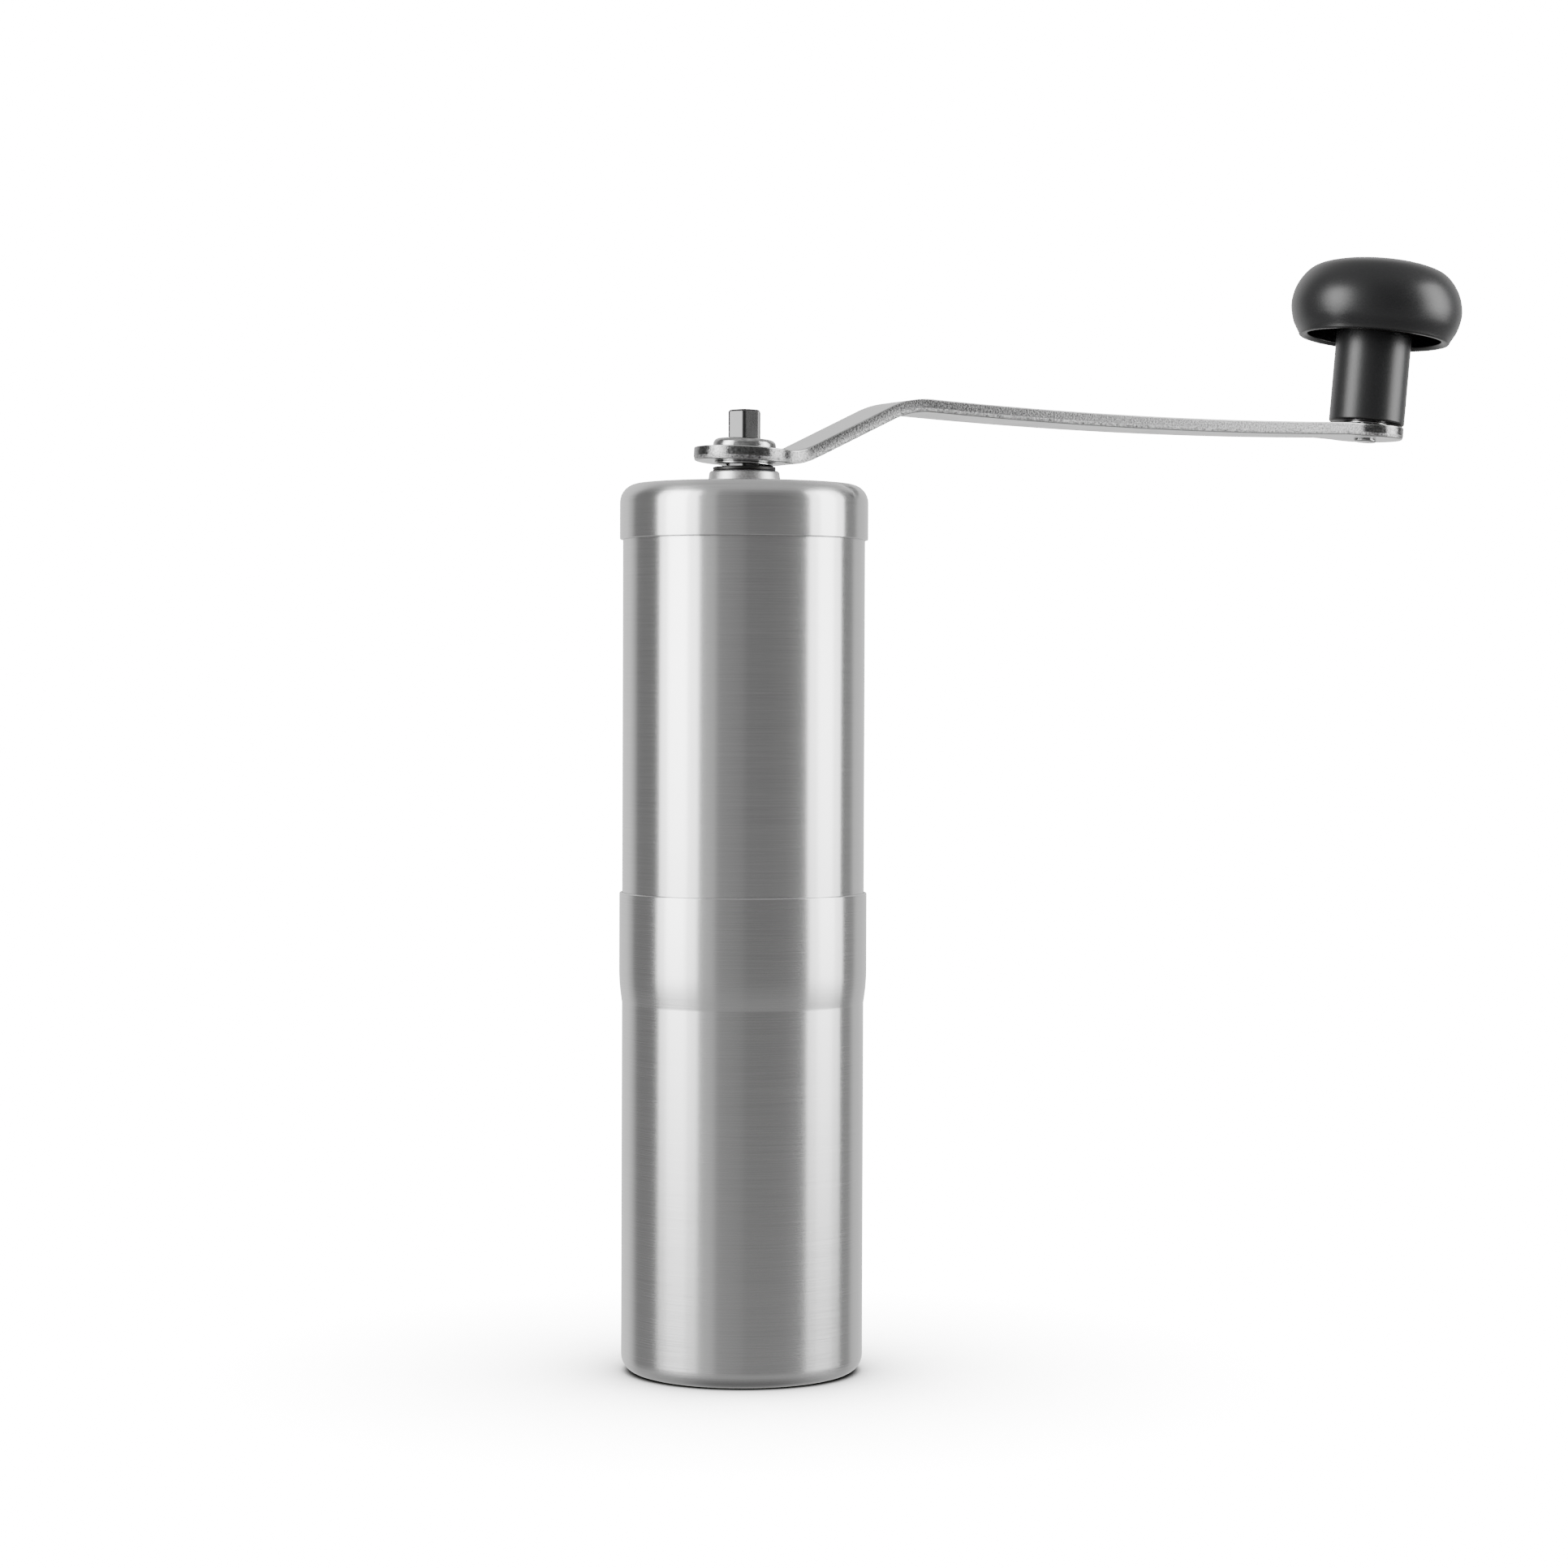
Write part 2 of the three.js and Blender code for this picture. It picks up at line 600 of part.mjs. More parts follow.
// An open retaining ring with its gap on the -X side.
function circlip(inner, outer, bottom, top) {
  const gap = 0.5;
  const shape = new THREE.Shape();
  shape.absarc(0, 0, outer, -Math.PI + gap, Math.PI - gap);
  shape.absarc(0, 0, inner, Math.PI - gap, -Math.PI + gap, true);
  return prism(shape, bottom, top, 10);
}

// The corners of the arm's upper side, seen from the side, with the hub at the origin.
function armLine() {
  const secondBend = FIRST_BEND + RAMP_RUN;
  const rise = RAMP_RUN * Math.tan(RAMP_ANGLE);
  const lastBend = REACH - EYE_BEND;
  const bow = (secondBend + lastBend) / 2;
  const eyeZ = rise + (lastBend - bow) * Math.tan(BOW_ANGLE);
  const end = EYE_BEND + KNOB_EYE_R + 2;
  return [
    [-HUB_EYE_R - 2, 0],
    [FIRST_BEND, 0, FIRST_BEND_R],
    [secondBend, rise, SECOND_BEND_R],
    [bow, rise, BOW_R],
    [lastBend, eyeZ, EYE_BEND_R],
    [lastBend + end, eyeZ + end * Math.tan(EYE_SLOPE)],
  ];
}

// Where the knob's axis meets the arm's upper side, from the hub's.
function eyeHeight() {
  const [x, z] = armLine()[4];
  return z + (REACH - x) * Math.tan(EYE_SLOPE);
}

// The closed outline of a plate of even thickness under a line of points.
function thicken(line, thickness) {
  const under = line.map((point, i) => {
    const before = line[Math.max(i - 1, 0)];
    const after = line[Math.min(i + 1, line.length - 1)];
    const along = after.clone().sub(before).normalize();
    return new THREE.Vector2(point.x + along.y * thickness, point.y - along.x * thickness);
  });
  return [...line, ...under.reverse()];
}

// Where a fillet between the arm's edge and a round end of this radius is centred.
function filletAt(eye) {
  const y = ARM_WIDTH / 2 + EYE_FILLET;
  const x = Math.sqrt((eye + EYE_FILLET) ** 2 - y ** 2);
  return { x, y, angle: Math.atan2(y, x) };
}

// The arm's blank, seen from above: a round hub end, straight edges and a round knob end.
function armBlank() {
  const hub = filletAt(HUB_EYE_R);
  const knob = filletAt(KNOB_EYE_R);
  const quarter = Math.PI / 2;
  const shape = new THREE.Shape();
  shape.absarc(0, 0, HUB_EYE_R, hub.angle, -hub.angle);
  shape.absarc(hub.x, -hub.y, EYE_FILLET, Math.PI - hub.angle, quarter, true);
  shape.absarc(REACH - knob.x, -knob.y, EYE_FILLET, quarter, knob.angle, true);
  shape.absarc(REACH, 0, KNOB_EYE_R, knob.angle - Math.PI, Math.PI - knob.angle);
  shape.absarc(REACH - knob.x, knob.y, EYE_FILLET, -knob.angle, -quarter, true);
  shape.absarc(hub.x, hub.y, EYE_FILLET, -quarter, hub.angle - Math.PI, true);
  return shape;
}

// A shape placed on the knob's axis, in the handle's own frame.
function onKnobAxis(geometry) {
  return geometry.rotateY(PIN_LEAN).translate(REACH, 0, eyeHeight());
}

function crankArm() {
  const side = new THREE.Shape(thicken(outline(armLine(), false, 6), ARM_THICKNESS));
  const strip = prism(side, -2 * HUB_EYE_R, 2 * HUB_EYE_R).rotateX(Math.PI / 2);
  const blank = prism(armBlank(), -10 * ARM_THICKNESS, 20 * ARM_THICKNESS, 6);
  const plate = geometryOf(solid(strip).intersect(solid(blank)));
  const hubHole = ring(0, HUB_NECK_R + SLIP, -2 * ARM_THICKNESS, ARM_THICKNESS);
  const pinHole = onKnobAxis(ring(0, PIN_R + SLIP, -2 * ARM_THICKNESS, ARM_THICKNESS, 20));
  return cut(plate, hubHole, pinHole);
}

// The hub riveted through the arm: a domed rim above, a thin rim below and a six-sided bore.
function driveHub() {
  const under = -ARM_THICKNESS - SEAT;
  const blank = revolve([
    [0, under - HUB_RIM],
    [HUB_RIM_R, under - HUB_RIM, HUB_RIM / 2],
    [HUB_RIM_R, under],
    [HUB_NECK_R, under],
    [HUB_NECK_R, SEAT],
    [HUB_DOME_R, SEAT],
    [HUB_DOME_R, SEAT + HUB_DOME, HUB_DOME * 0.6],
    [0, SEAT + HUB_DOME],
  ]);
  return cut(blank, prism(hexagon(HUB_BORE_FLATS, SHAFT_CORNER), 2 * under, 3 * HUB_DOME));
}

function knobPin() {
  const groove = PIN_LENGTH - 3 * CLIP_THICKNESS;
  return revolve(
    [
      [0, HEAD_TOP - PIN_HEAD],
      [PIN_HEAD_R, HEAD_TOP - PIN_HEAD, PIN_HEAD * 0.8],
      [PIN_HEAD_R, HEAD_TOP],
      [PIN_R, HEAD_TOP],
      [PIN_R, groove - SEAT],
      [PIN_R - CLIP_GROOVE, groove - SEAT],
      [PIN_R - CLIP_GROOVE, groove + CLIP_THICKNESS + SEAT],
      [PIN_R, groove + CLIP_THICKNESS + SEAT],
      [PIN_R, PIN_LENGTH, 0.3],
      [0, PIN_LENGTH],
    ],
    20,
  );
}

function pinClip() {
  const bottom = PIN_LENGTH - 3 * CLIP_THICKNESS;
  const inner = PIN_R - CLIP_GROOVE + SEAT;
  return circlip(inner, inner + CLIP_WIDTH, bottom, bottom + CLIP_THICKNESS);
}

// The knob's post: it runs on the pin, and its deep counterbore hides the pin's clip.
function knobSleeve() {
  const bore = PIN_R + RUN;
  const well = bore + CLIP_WIDTH + 0.4;
  const wellFloor = PIN_LENGTH - 4 * CLIP_THICKNESS;
  return revolve([
    [bore, SLEEVE_FOOT],
    [SLEEVE_R, SLEEVE_FOOT, 0.5],
    [SLEEVE_R, SLEEVE_TOP],
    [well, SLEEVE_TOP],
    [well, wellFloor],
    [bore, wellFloor],
  ]);
}

// The knob's cap: a flattened dome, hollow below, with a socket that is pressed over the post.
function knobCap() {
  const dome = new THREE.SplineCurve([
    new THREE.Vector2(CAP_RIM_R, CAP_RIM + 2 * CAP_LIP),
    ...CAP_DOME.map(([across, up]) => new THREE.Vector2(CAP_R * across, CAP_RIM + CAP_HEIGHT * up)),
  ]).getPoints(10);
  const mouth = CAP_RIM_R - CAP_RIM_WALL;
  const socket = SLEEVE_R + SLIP;
  const ceiling = SLEEVE_TOP + 2 * SLIP;
  const hollow = [
    [0, ceiling],
    [socket, ceiling],
    [socket, ceiling - CAP_SOCKET],
    [socket + CAP_SOCKET_WALL, ceiling - CAP_SOCKET],
    [socket + CAP_SOCKET_WALL, ceiling - 1],
    [CAP_R * 0.74, ceiling - 1, CAP_WALL * 0.8],
    [CAP_R - CAP_WALL, CAP_RIM + CAP_HEIGHT * CAP_WIDEST, CAP_WALL * 1.6],
    [mouth, CAP_RIM + CAP_LIP],
    [mouth + CAP_LIP, CAP_RIM],
    [CAP_RIM_R - CAP_LIP, CAP_RIM],
  ];
  return spin([...outline(hollow, false), ...dome], SHELL_SEGMENTS);
}

function cupGroup() {
  return new THREE.Group().add(piece("cup_shell", cupShell(), "brushed"));
}

function barrelGroup() {
  const lower = flangedBush(
    JOURNAL_BORE,
    BUSH_R,
    BOSS_BOTTOM - SEAT,
    BOSS_BOTTOM + BUSH_LENGTH,
    BOSS_BOTTOM - SEAT - BUSH_FLANGE,
  );
  const upper = flangedBush(
    JOURNAL_BORE,
    BUSH_R,
    BOSS_TOP + SEAT,
    BOSS_TOP - BUSH_LENGTH,
    BOSS_TOP + SEAT + BUSH_FLANGE,
  );
  const retainerTop = RING_BURR_BOTTOM - SEAT;
  const retainer = ring(
    RING_BURR_R - RETAINER_WIDTH,
    RING_BURR_R,
    retainerTop - RETAINER,
    retainerTop,
    SHELL_SEGMENTS,
  );
  return new THREE.Group().add(
    piece("barrel_tube", barrelTube(), "brushed"),
    piece("burr_housing", burrHousing(), "black"),
    piece("outer_burr", outerBurr(), "steel"),
    piece("burr_retainer", retainer, "black"),
    piece("lower_bush", lower, "brass"),
    piece("upper_bush", upper, "brass"),
  );
}

function shaftGroup() {
  const washerR = BUSH_R + WASHER_MARGIN;
  const upperWasher = SHOULDER - SEAT - WASHER;
  return new THREE.Group().add(
    piece("shaft", shaft(), "steel"),
    piece("upper_washer", ring(JOURNAL_BORE, washerR, upperWasher, upperWasher + WASHER), "steel"),
    piece("lower_washer", ring(JOURNAL_BORE, washerR, SPRING_TOP, SPRING_TOP + WASHER), "steel"),
    piece("burr_spring", spring(), "steel"),
  );
}

function innerBurrGroup() {
  const wheelBottom = CARRIER_BOTTOM - 2 * SEAT - WHEEL_HEIGHT;
  return new THREE.Group().add(
    piece("inner_burr", innerBurr(), "steel"),
    piece("burr_carrier", burrCarrier(), "black"),
    piece("adjuster_wheel", adjusterWheel(wheelBottom), "black"),
    piece("adjuster_nut", adjusterNut(CARRIER_BOTTOM - 2 * SEAT), "brass"),
  );
}

function lidGroup() {
  const clipTop = LINER_BOTTOM - SEAT;
  const clip = ring(FERRULE_R + SLIP, FERRULE_R + LID_CLIP_WIDTH, clipTop - LID_CLIP, clipTop);
  const bushBottom = LINER_BOTTOM - FERRULE_SPIGOT + 2 * SEAT;
  const bush = ring(LID_BUSH_BORE, LID_BUSH_R, bushBottom, FERRULE_TOP - SEAT);
  const thrust = ring(LID_BUSH_BORE, FERRULE_R, FERRULE_TOP + SEAT, RING_TOP);
  return new THREE.Group().add(
    piece("lid_shell", lidShell(), "brushed"),
    piece("lid_liner", lidLiner(), "black"),
    piece("lid_ferrule", lidFerrule(), "satin"),
    piece("lid_clip", clip, "steel"),
    piece("lid_bush", bush, "black"),
    piece("thrust_ring", thrust, "black"),
  );
}

function knobGroup() {
  const group = new THREE.Group();
  const washer = ring(PIN_R + SLIP, PIN_WASHER_R, PIN_WASHER_Z, PIN_WASHER_Z + PIN_WASHER, 20);
  group.add(
    piece("knob_pin", knobPin(), "plated"),
    piece("pin_washer", washer, "steel"),
    piece("pin_clip", pinClip(), "steel"),
    piece("knob_sleeve", knobSleeve(), "charcoal"),
    piece("knob_cap", knobCap(), "charcoal"),
  );
  group.position.set(REACH, 0, eyeHeight());
  group.rotation.y = PIN_LEAN;
  return group;
}

function handleGroup() {
  const group = new THREE.Group();
  group.add(piece("crank_arm", crankArm(), "plated"));
  group.add(piece("drive_hub", driveHub(), "plated"));
  group.add(knobGroup());
  group.position.z = ARM_Z;
  group.rotation.y = LEAN;
  return group;
}

const grinder = new THREE.Group();
grinder.add(cupGroup(), barrelGroup(), shaftGroup(), innerBurrGroup(), lidGroup(), handleGroup());

export default grinder;
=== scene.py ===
# %% [markdown]
# # A hand crank coffee grinder
# The mill is a slim stainless tube with a cup below, a lid above and a bent crank that carries a
# dark knob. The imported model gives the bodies, the joints and the inner works. This lesson makes
# the outer pieces again with smooth walls and rounded edges, gives every piece a finish, and
# lights the whole thing in a small studio. Sizes are in millimetres until a mesh is made.

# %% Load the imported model
import json
import math

import bmesh
import bpy
from mathutils import Matrix, Vector


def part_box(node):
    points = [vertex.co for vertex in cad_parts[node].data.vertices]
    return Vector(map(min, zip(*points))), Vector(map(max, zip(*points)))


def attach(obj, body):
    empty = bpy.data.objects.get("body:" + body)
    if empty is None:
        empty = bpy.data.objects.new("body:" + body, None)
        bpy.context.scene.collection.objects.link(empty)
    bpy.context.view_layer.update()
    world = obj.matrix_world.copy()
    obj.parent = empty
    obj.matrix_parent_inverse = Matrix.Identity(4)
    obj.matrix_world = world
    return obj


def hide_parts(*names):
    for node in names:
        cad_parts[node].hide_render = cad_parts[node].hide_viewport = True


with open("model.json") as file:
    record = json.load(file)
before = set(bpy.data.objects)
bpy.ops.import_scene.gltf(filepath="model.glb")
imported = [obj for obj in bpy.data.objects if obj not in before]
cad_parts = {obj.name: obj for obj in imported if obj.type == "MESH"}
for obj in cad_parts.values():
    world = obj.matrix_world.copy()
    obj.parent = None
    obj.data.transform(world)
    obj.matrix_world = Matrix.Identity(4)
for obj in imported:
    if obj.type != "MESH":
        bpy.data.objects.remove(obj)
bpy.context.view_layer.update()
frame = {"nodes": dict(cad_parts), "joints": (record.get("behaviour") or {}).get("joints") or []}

MM = 0.001


# %% [markdown]
# ## Helpers for shape
# Most of the mill was turned, drawn or moulded round an axis. A profile of corners, each with its
# own small radius, is therefore enough to describe a piece. A real edge is never quite sharp, and
# that thin radius is what catches the light. Edges are kept crisp only where two faces meet at
# more than a third of a right angle.

# %% Shape helpers
CREASE = math.radians(31)
AXIS_R = 1e-4  # a point on the axis is drawn as a ring this small
SLIP = 0.1  # clearance of a push fit, each side
SEAT = 0.05  # between faces that rest on each other


def rounded(corners, closed=True, steps=8):
    """[x, y, radius] corners as a fine line of points, with each given radius rounded."""
    points = []
    for i, (x, y, *radius) in enumerate(corners):
        corner = Vector((x, y))
        at_end = not closed and i in (0, len(corners) - 1)
        if at_end or not radius or radius[0] <= 0:
            points.append(corner)
            continue
        back = (Vector(corners[i - 1][:2]) - corner).normalized()
        ahead = (Vector(corners[(i + 1) % len(corners)][:2]) - corner).normalized()
        half = back.angle(ahead) / 2
        centre = corner + (back + ahead).normalized() * radius[0] / math.sin(half)
        start = corner + back * radius[0] / math.tan(half) - centre
        turn = (math.pi - 2 * half) * math.copysign(1, ahead.cross(back))
        for step in range(steps + 1):
            spoke = start.copy()
            spoke.rotate(Matrix.Rotation(turn * step / steps, 2))
            points.append(centre + spoke)
    return points


def finish_mesh(name, bm, body, *nodes, place=Matrix()):
    """The bmesh as an object in metres that rides on a body and stands for CAD nodes."""
    bmesh.ops.remove_doubles(bm, verts=bm.verts, dist=1e-5)
    bmesh.ops.recalc_face_normals(bm, faces=bm.faces)
    for face in bm.faces:
        face.smooth = True
    for edge in bm.edges:
        edge.smooth = len(edge.link_faces) == 2 and edge.calc_face_angle(0) < CREASE
    bmesh.ops.transform(bm, matrix=Matrix.Scale(MM, 4) @ place, verts=bm.verts)
    mesh = bpy.data.meshes.new(name)
    bm.to_mesh(mesh)
    bm.free()
    made = bpy.data.objects.new(name, mesh)
    bpy.context.scene.collection.objects.link(made)
    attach(made, body)
    if nodes:
        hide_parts(*nodes)
    return made


def bevel(piece, name, width, segments, least_turn):
    """A bevel of width millimetres on edges that turn by more than least_turn degrees."""
    made = piece.modifiers.new(name, "BEVEL")
    made.width = width * MM
    made.segments = segments
    made.angle_limit = math.radians(least_turn)
    return made


def skin(bm, rings, closed):
    """Faces between each ring of vertices and the next, and from the last to the first."""
    count = len(rings)
    for i in range(count if closed else count - 1):
        low, high = rings[i], rings[(i + 1) % count]
        for k in range(len(low)):
            after = (k + 1) % len(low)
            bm.faces.new((low[k], low[after], high[after], high[k]))


def loft(sections, closed):
    """A bmesh skinned over sections: each is a list of (x, y, z) points of equal count."""
    bm = bmesh.new()
    skin(bm, [[bm.verts.new(point) for point in section] for section in sections], closed)
    return bm


def circle(radius, height, around):
    """Points on a level circle."""
    turns = [2 * math.pi * k / around for k in range(around)]
    return [(radius * math.cos(a), radius * math.sin(a), height) for a in turns]


def turned(name, corners, body, *nodes, around=160, place=Matrix()):
    """A piece turned about Z from a closed profile of [radius, height, corner radius]."""
    profile = rounded(corners)
    on_axis = [p for p in profile if p.x < 1e-6]
    if on_axis:
        first = profile.index(on_axis[0])
        profile = profile[first:] + profile[:first]
        if profile[1].x < 1e-6:
            profile = profile[1:] + profile[:1]
    bm = loft([circle(max(p.x, AXIS_R), p.y, around) for p in profile], closed=True)
    if on_axis:
        bmesh.ops.dissolve_degenerate(bm, dist=1e-3, edges=bm.edges)
    return finish_mesh(name, bm, body, *nodes, place=place)


print("crease at", round(math.degrees(CREASE)), "degrees")

# %% [markdown]
# ## Helpers for finishes
# Colours are written as the sRGB codes a maker would pick from a chart, and turned linear once.
# One function adds a node, and one builds the whole finish, because on every piece here the same
# fine grain sets the shade, the gloss and the relief.


# %% Finish helpers
def linear(code):
    """An sRGB hex code as a linear colour."""
    parts = [int(code[i : i + 2], 16) / 255 for i in (0, 2, 4)]
    return [p / 12.92 if p <= 0.04045 else ((p + 0.055) / 1.055) ** 2.4 for p in parts] + [1]


def add(tree, kind, inputs=None, **settings):
    """One node with its settings. Each input takes a value, a socket, or a node's first output."""
    made = tree.nodes.new(kind)
    for key, value in settings.items():
        setattr(made, key, value)
    for key, value in (inputs or {}).items():
        if isinstance(value, bpy.types.Node):
            value = value.outputs[0]
        if isinstance(value, bpy.types.NodeSocket):
            tree.links.new(value, made.inputs[key])
        else:
            made.inputs[key].default_value = value
    return made


def surface(name, shades, roughness, grain, depth, make_grain, **more):
    """A material whose shade, gloss and relief all follow one grain, from 0 to 1.
    Gloss runs between two roughness values, and relief is depth millimetres at most."""
    material = bpy.data.materials.new(name)
    material.use_nodes = True
    tree = material.node_tree
    tree.nodes.clear()
    value = make_grain(tree, grain)
    colours = {0: value, 6: linear(shades[0]), 7: linear(shades[1])}
    shade = add(tree, "ShaderNodeMix", colours, data_type="RGBA").outputs[2]
    spread = {"Value": value, "To Min": roughness[0], "To Max": roughness[1]}
    inputs = {
        "Base Color": shade,
        "Roughness": add(tree, "ShaderNodeMapRange", spread),
        "Normal": add(tree, "ShaderNodeBump", {"Height": value, "Distance": depth * MM}),
    }
    inputs |= more
    if "Anisotropic" in more:
        inputs["Tangent"] = add(tree, "ShaderNodeTangent", axis="Z")
    shader = add(tree, "ShaderNodeBsdfPrincipled", inputs)
    add(tree, "ShaderNodeOutputMaterial", {"Surface": shader})
    return material


def noise_at(tree, place, size, detail):
    """Noise from 0 to 1 whose grains are size = (x, y, z) millimetres."""
    scale = [1 / (length * MM) for length in size]
    spread = add(tree, "ShaderNodeVectorMath", {0: place, 1: scale}, operation="MULTIPLY")
    inputs = {"Vector": spread, "Scale": 1.0, "Detail": detail, "Roughness": 0.6}
    noise = add(tree, "ShaderNodeTexNoise", inputs)
    return add(tree, "ShaderNodeMapRange", {"Value": noise, "From Min": 0.3, "From Max": 0.7})


def cloudy(tree, size):
    """Grains of one size all through the piece, as in a cast, rolled or torn skin."""
    place = add(tree, "ShaderNodeTexCoord").outputs["Object"]
    return noise_at(tree, place, size, detail=3.0)


def circling(tree, size):
    """Noise whose z grows with the distance from the axis too, so that fine lines stay circles
    on a wall, on a corner and on a flat top."""
    place = add(tree, "ShaderNodeTexCoord").outputs["Object"]
    flat = add(tree, "ShaderNodeVectorMath", {0: place, 1: (1, 1, 0)}, operation="MULTIPLY")
    reach = add(tree, "ShaderNodeVectorMath", {0: flat}, operation="LENGTH").outputs["Value"]
    rise = add(tree, "ShaderNodeCombineXYZ", {"Z": reach})
    place = add(tree, "ShaderNodeVectorMath", {0: place, 1: rise})
    return noise_at(tree, place, size, detail=4.0)


def coat(piece, *materials):
    """Give a piece its materials, slot by slot, so that each face keeps its choice of slot."""
    slots = piece.data.materials
    for i, material in enumerate(materials):
        if i < len(slots):
            slots[i] = material
        else:
            slots.append(material)
    return piece


def size_of(node):
    """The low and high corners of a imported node, in millimetres."""
    return [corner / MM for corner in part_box(node)]


print("finishes: shade, gloss and relief follow one grain")

# %% [markdown]
# ## Brushed stainless steel
# The cup, the barrel and the lid's shell are drawn stainless sheet. They are spun against an
# abrasive belt, so very fine lines run round them. Light is smeared across those lines, which
# turns each lamp into a tall, even stripe with a crisp side. The tangent runs round the axis and
# the anisotropy is turned a quarter, so the smear runs up and down. The cup is a little duller
# than the barrel because hands hold it.

# %% Brushed stainless
brushed = {"Metallic": 1.0, "Anisotropic": 0.9, "Anisotropic Rotation": 0.25}
# a tall even stripe from each lamp, barely broken by the lines
body_steel = surface(
    "belt_brushed_stainless", ("C2C2C2", "D0D0D0"), (0.21, 0.26), (18, 18, 0.07), 0.00012, circling,
    **brushed,
)
# the same stripe, softer at its sides, with fainter lines
cup_steel = surface(
    "hand_worn_brushed_stainless", ("C0C0C0", "CECECE"), (0.22, 0.28), (18, 18, 0.08), 0.00008,
    circling, **brushed,
)
print("brushed:", body_steel.name, cup_steel.name)

# %% [markdown]
# ## Plated steel
# The crank is blanked from steel strip and then nickel plated. Its wide faces keep the smooth skin
# of the rolled strip, with a little ripple. A blanking die leaves two bands on an edge: a
# burnished land above, where the punch slid, and a torn band below, which leans in and sparkles.
# Each gets its own finish. The hub and the pin are turned, then riveted over.

# %% Plated steel
metallic = {"Metallic": 1.0}
# a clear grey mirror with a slow ripple
plate_face = surface(
    "nickel_plate_on_rolled_face", ("B6B6B6", "C8C8C8"), (0.16, 0.26), (9, 5, 5), 0.003, cloudy,
    **metallic,
)
# the dark band that follows the arm's upper edge, peppered with bright grains
plate_land = surface(
    "nickel_plate_on_burnished_land", ("4C4C4C", "8C8C8C"), (0.12, 0.21), (0.4, 0.4, 0.4), 0.01,
    cloudy, **metallic,
)
# the pale glittering band below it
plate_torn = surface(
    "nickel_plate_on_torn_band", ("4A4A4A", "BABABA"), (0.26, 0.42), (0.38, 0.38, 0.38), 0.03,
    cloudy, **metallic,
)
# sharp small glints round the hub and the pin
plate_turned = surface(
    "nickel_plate_on_turned_steel", ("8A8A8A", "C6C6C6"), (0.1, 0.2), (1.6, 1.6, 0.6), 0.016,
    cloudy, **metallic,
)
print("plated:", plate_face.name, plate_land.name, plate_torn.name, plate_turned.name)

# %% [markdown]
# ## Other metals
# The shaft is ground bar, dark with a film of oil, and glossy. The ferrule that guides it
# is die cast aluminium with a soft satin skin. The burrs are machined steel, the small rings are
# bright spring steel, and the bushes and the adjusting nut are brass.

# %% Other metals
# one flat of the hexagon flashes while its neighbour stays dark
ground_steel = surface(
    "oiled_ground_bar", ("525252", "5E5E5E"), (0.27, 0.35), (7, 7, 14), 0.001, cloudy, **metallic
)
# thin bright outlines on the small rings and the spring
spring_steel = surface(
    "bright_spring_steel", ("B4B4B4", "C6C6C6"), (0.18, 0.26), (3, 3, 3), 0.002, cloudy, **metallic
)
# a broken sheen that follows the cutter's steps down the teeth
machined_steel = surface(
    "machined_burr_steel", ("8E8E8E", "B0B0B0"), (0.3, 0.4), (1.2, 1.2, 0.25), 0.004, cloudy,
    **metallic,
)
# a soft white glow, the palest metal on the mill
satin_aluminium = surface(
    "die_cast_aluminium", ("B6B6B6", "CACACA"), (0.3, 0.4), (0.35, 0.35, 0.35), 0.003, cloudy,
    **metallic,
)
# a warm yellow inside the black moulding
brass = surface(
    "turned_brass", ("A98B4A", "C2A55F"), (0.26, 0.34), (5, 5, 0.3), 0.002, circling, **metallic
)
print("metals:", [m.name for m in (ground_steel, spring_steel, machined_steel, satin_aluminium)])

# %% [markdown]
# ## Plastics
# The knob is moulded in charcoal plastic with a fine spark-eroded skin, which spreads a lamp into
# a soft oval. The thrust ring, the bush, the liner and the burr housing are plain black nylon.

# %% Plastics
# soft oval highlights on a grey black
charcoal = surface(
    "spark_eroded_charcoal_plastic", ("19191A", "1E1E1F"), (0.31, 0.37), (0.22, 0.22, 0.22), 0.002,
    cloudy, **{"Specular IOR Level": 0.44},
)
# nearly no highlight, so that the ring under the hub reads as a dark line
nylon = surface(
    "black_nylon", ("0E0E0E", "121212"), (0.42, 0.5), (0.4, 0.4, 0.4), 0.004, cloudy,
    **{"Specular IOR Level": 0.4},
)
print("plastics:", charcoal.name, nylon.name)

# %% [markdown]
# ## The cup
# One deep-drawn shell. Its wall swells into a collar near the top, which slips over the barrel's
# lower end. The floor turns into the wall through a small radius, and the cut rim is tumbled
# round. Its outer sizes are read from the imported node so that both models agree.

# %% Cup
cup_high = size_of("cup_shell")[1]
barrel_low, barrel_high = size_of("barrel_tube")
body_r = barrel_high.x
collar_r = cup_high.x
collar_top = cup_high.z
collar_wall = 0.45
cup_wall = 1.0
cup_floor = 1.6
cup_corner = 3.3
flare_foot = 71.8
flare_top = 75.7
collar_bore = collar_r - collar_wall
cup_profile = [
    [0, 0],
    [body_r, 0, cup_corner],
    [body_r, flare_foot, 3],
    [collar_r, flare_top, 36],
    [collar_r, collar_top, 0.28],
    [collar_bore, collar_top, 0.1],
    [collar_bore, flare_top, 0.2],
    [body_r - cup_wall, flare_foot, 1.0],
    [body_r - cup_wall, cup_floor, cup_corner - cup_wall],
    [0, cup_floor],
]
cup = coat(turned("cup_drawn_shell", cup_profile, "cup", "cup_shell", around=192), cup_steel)
print("cup", len(cup.data.polygons), "faces,", round(2 * collar_r, 1), "mm over the collar")

# %% [markdown]
# ## The barrel
# A plain length of welded and planished tube, cut square, with both rims broken by a fine radius.

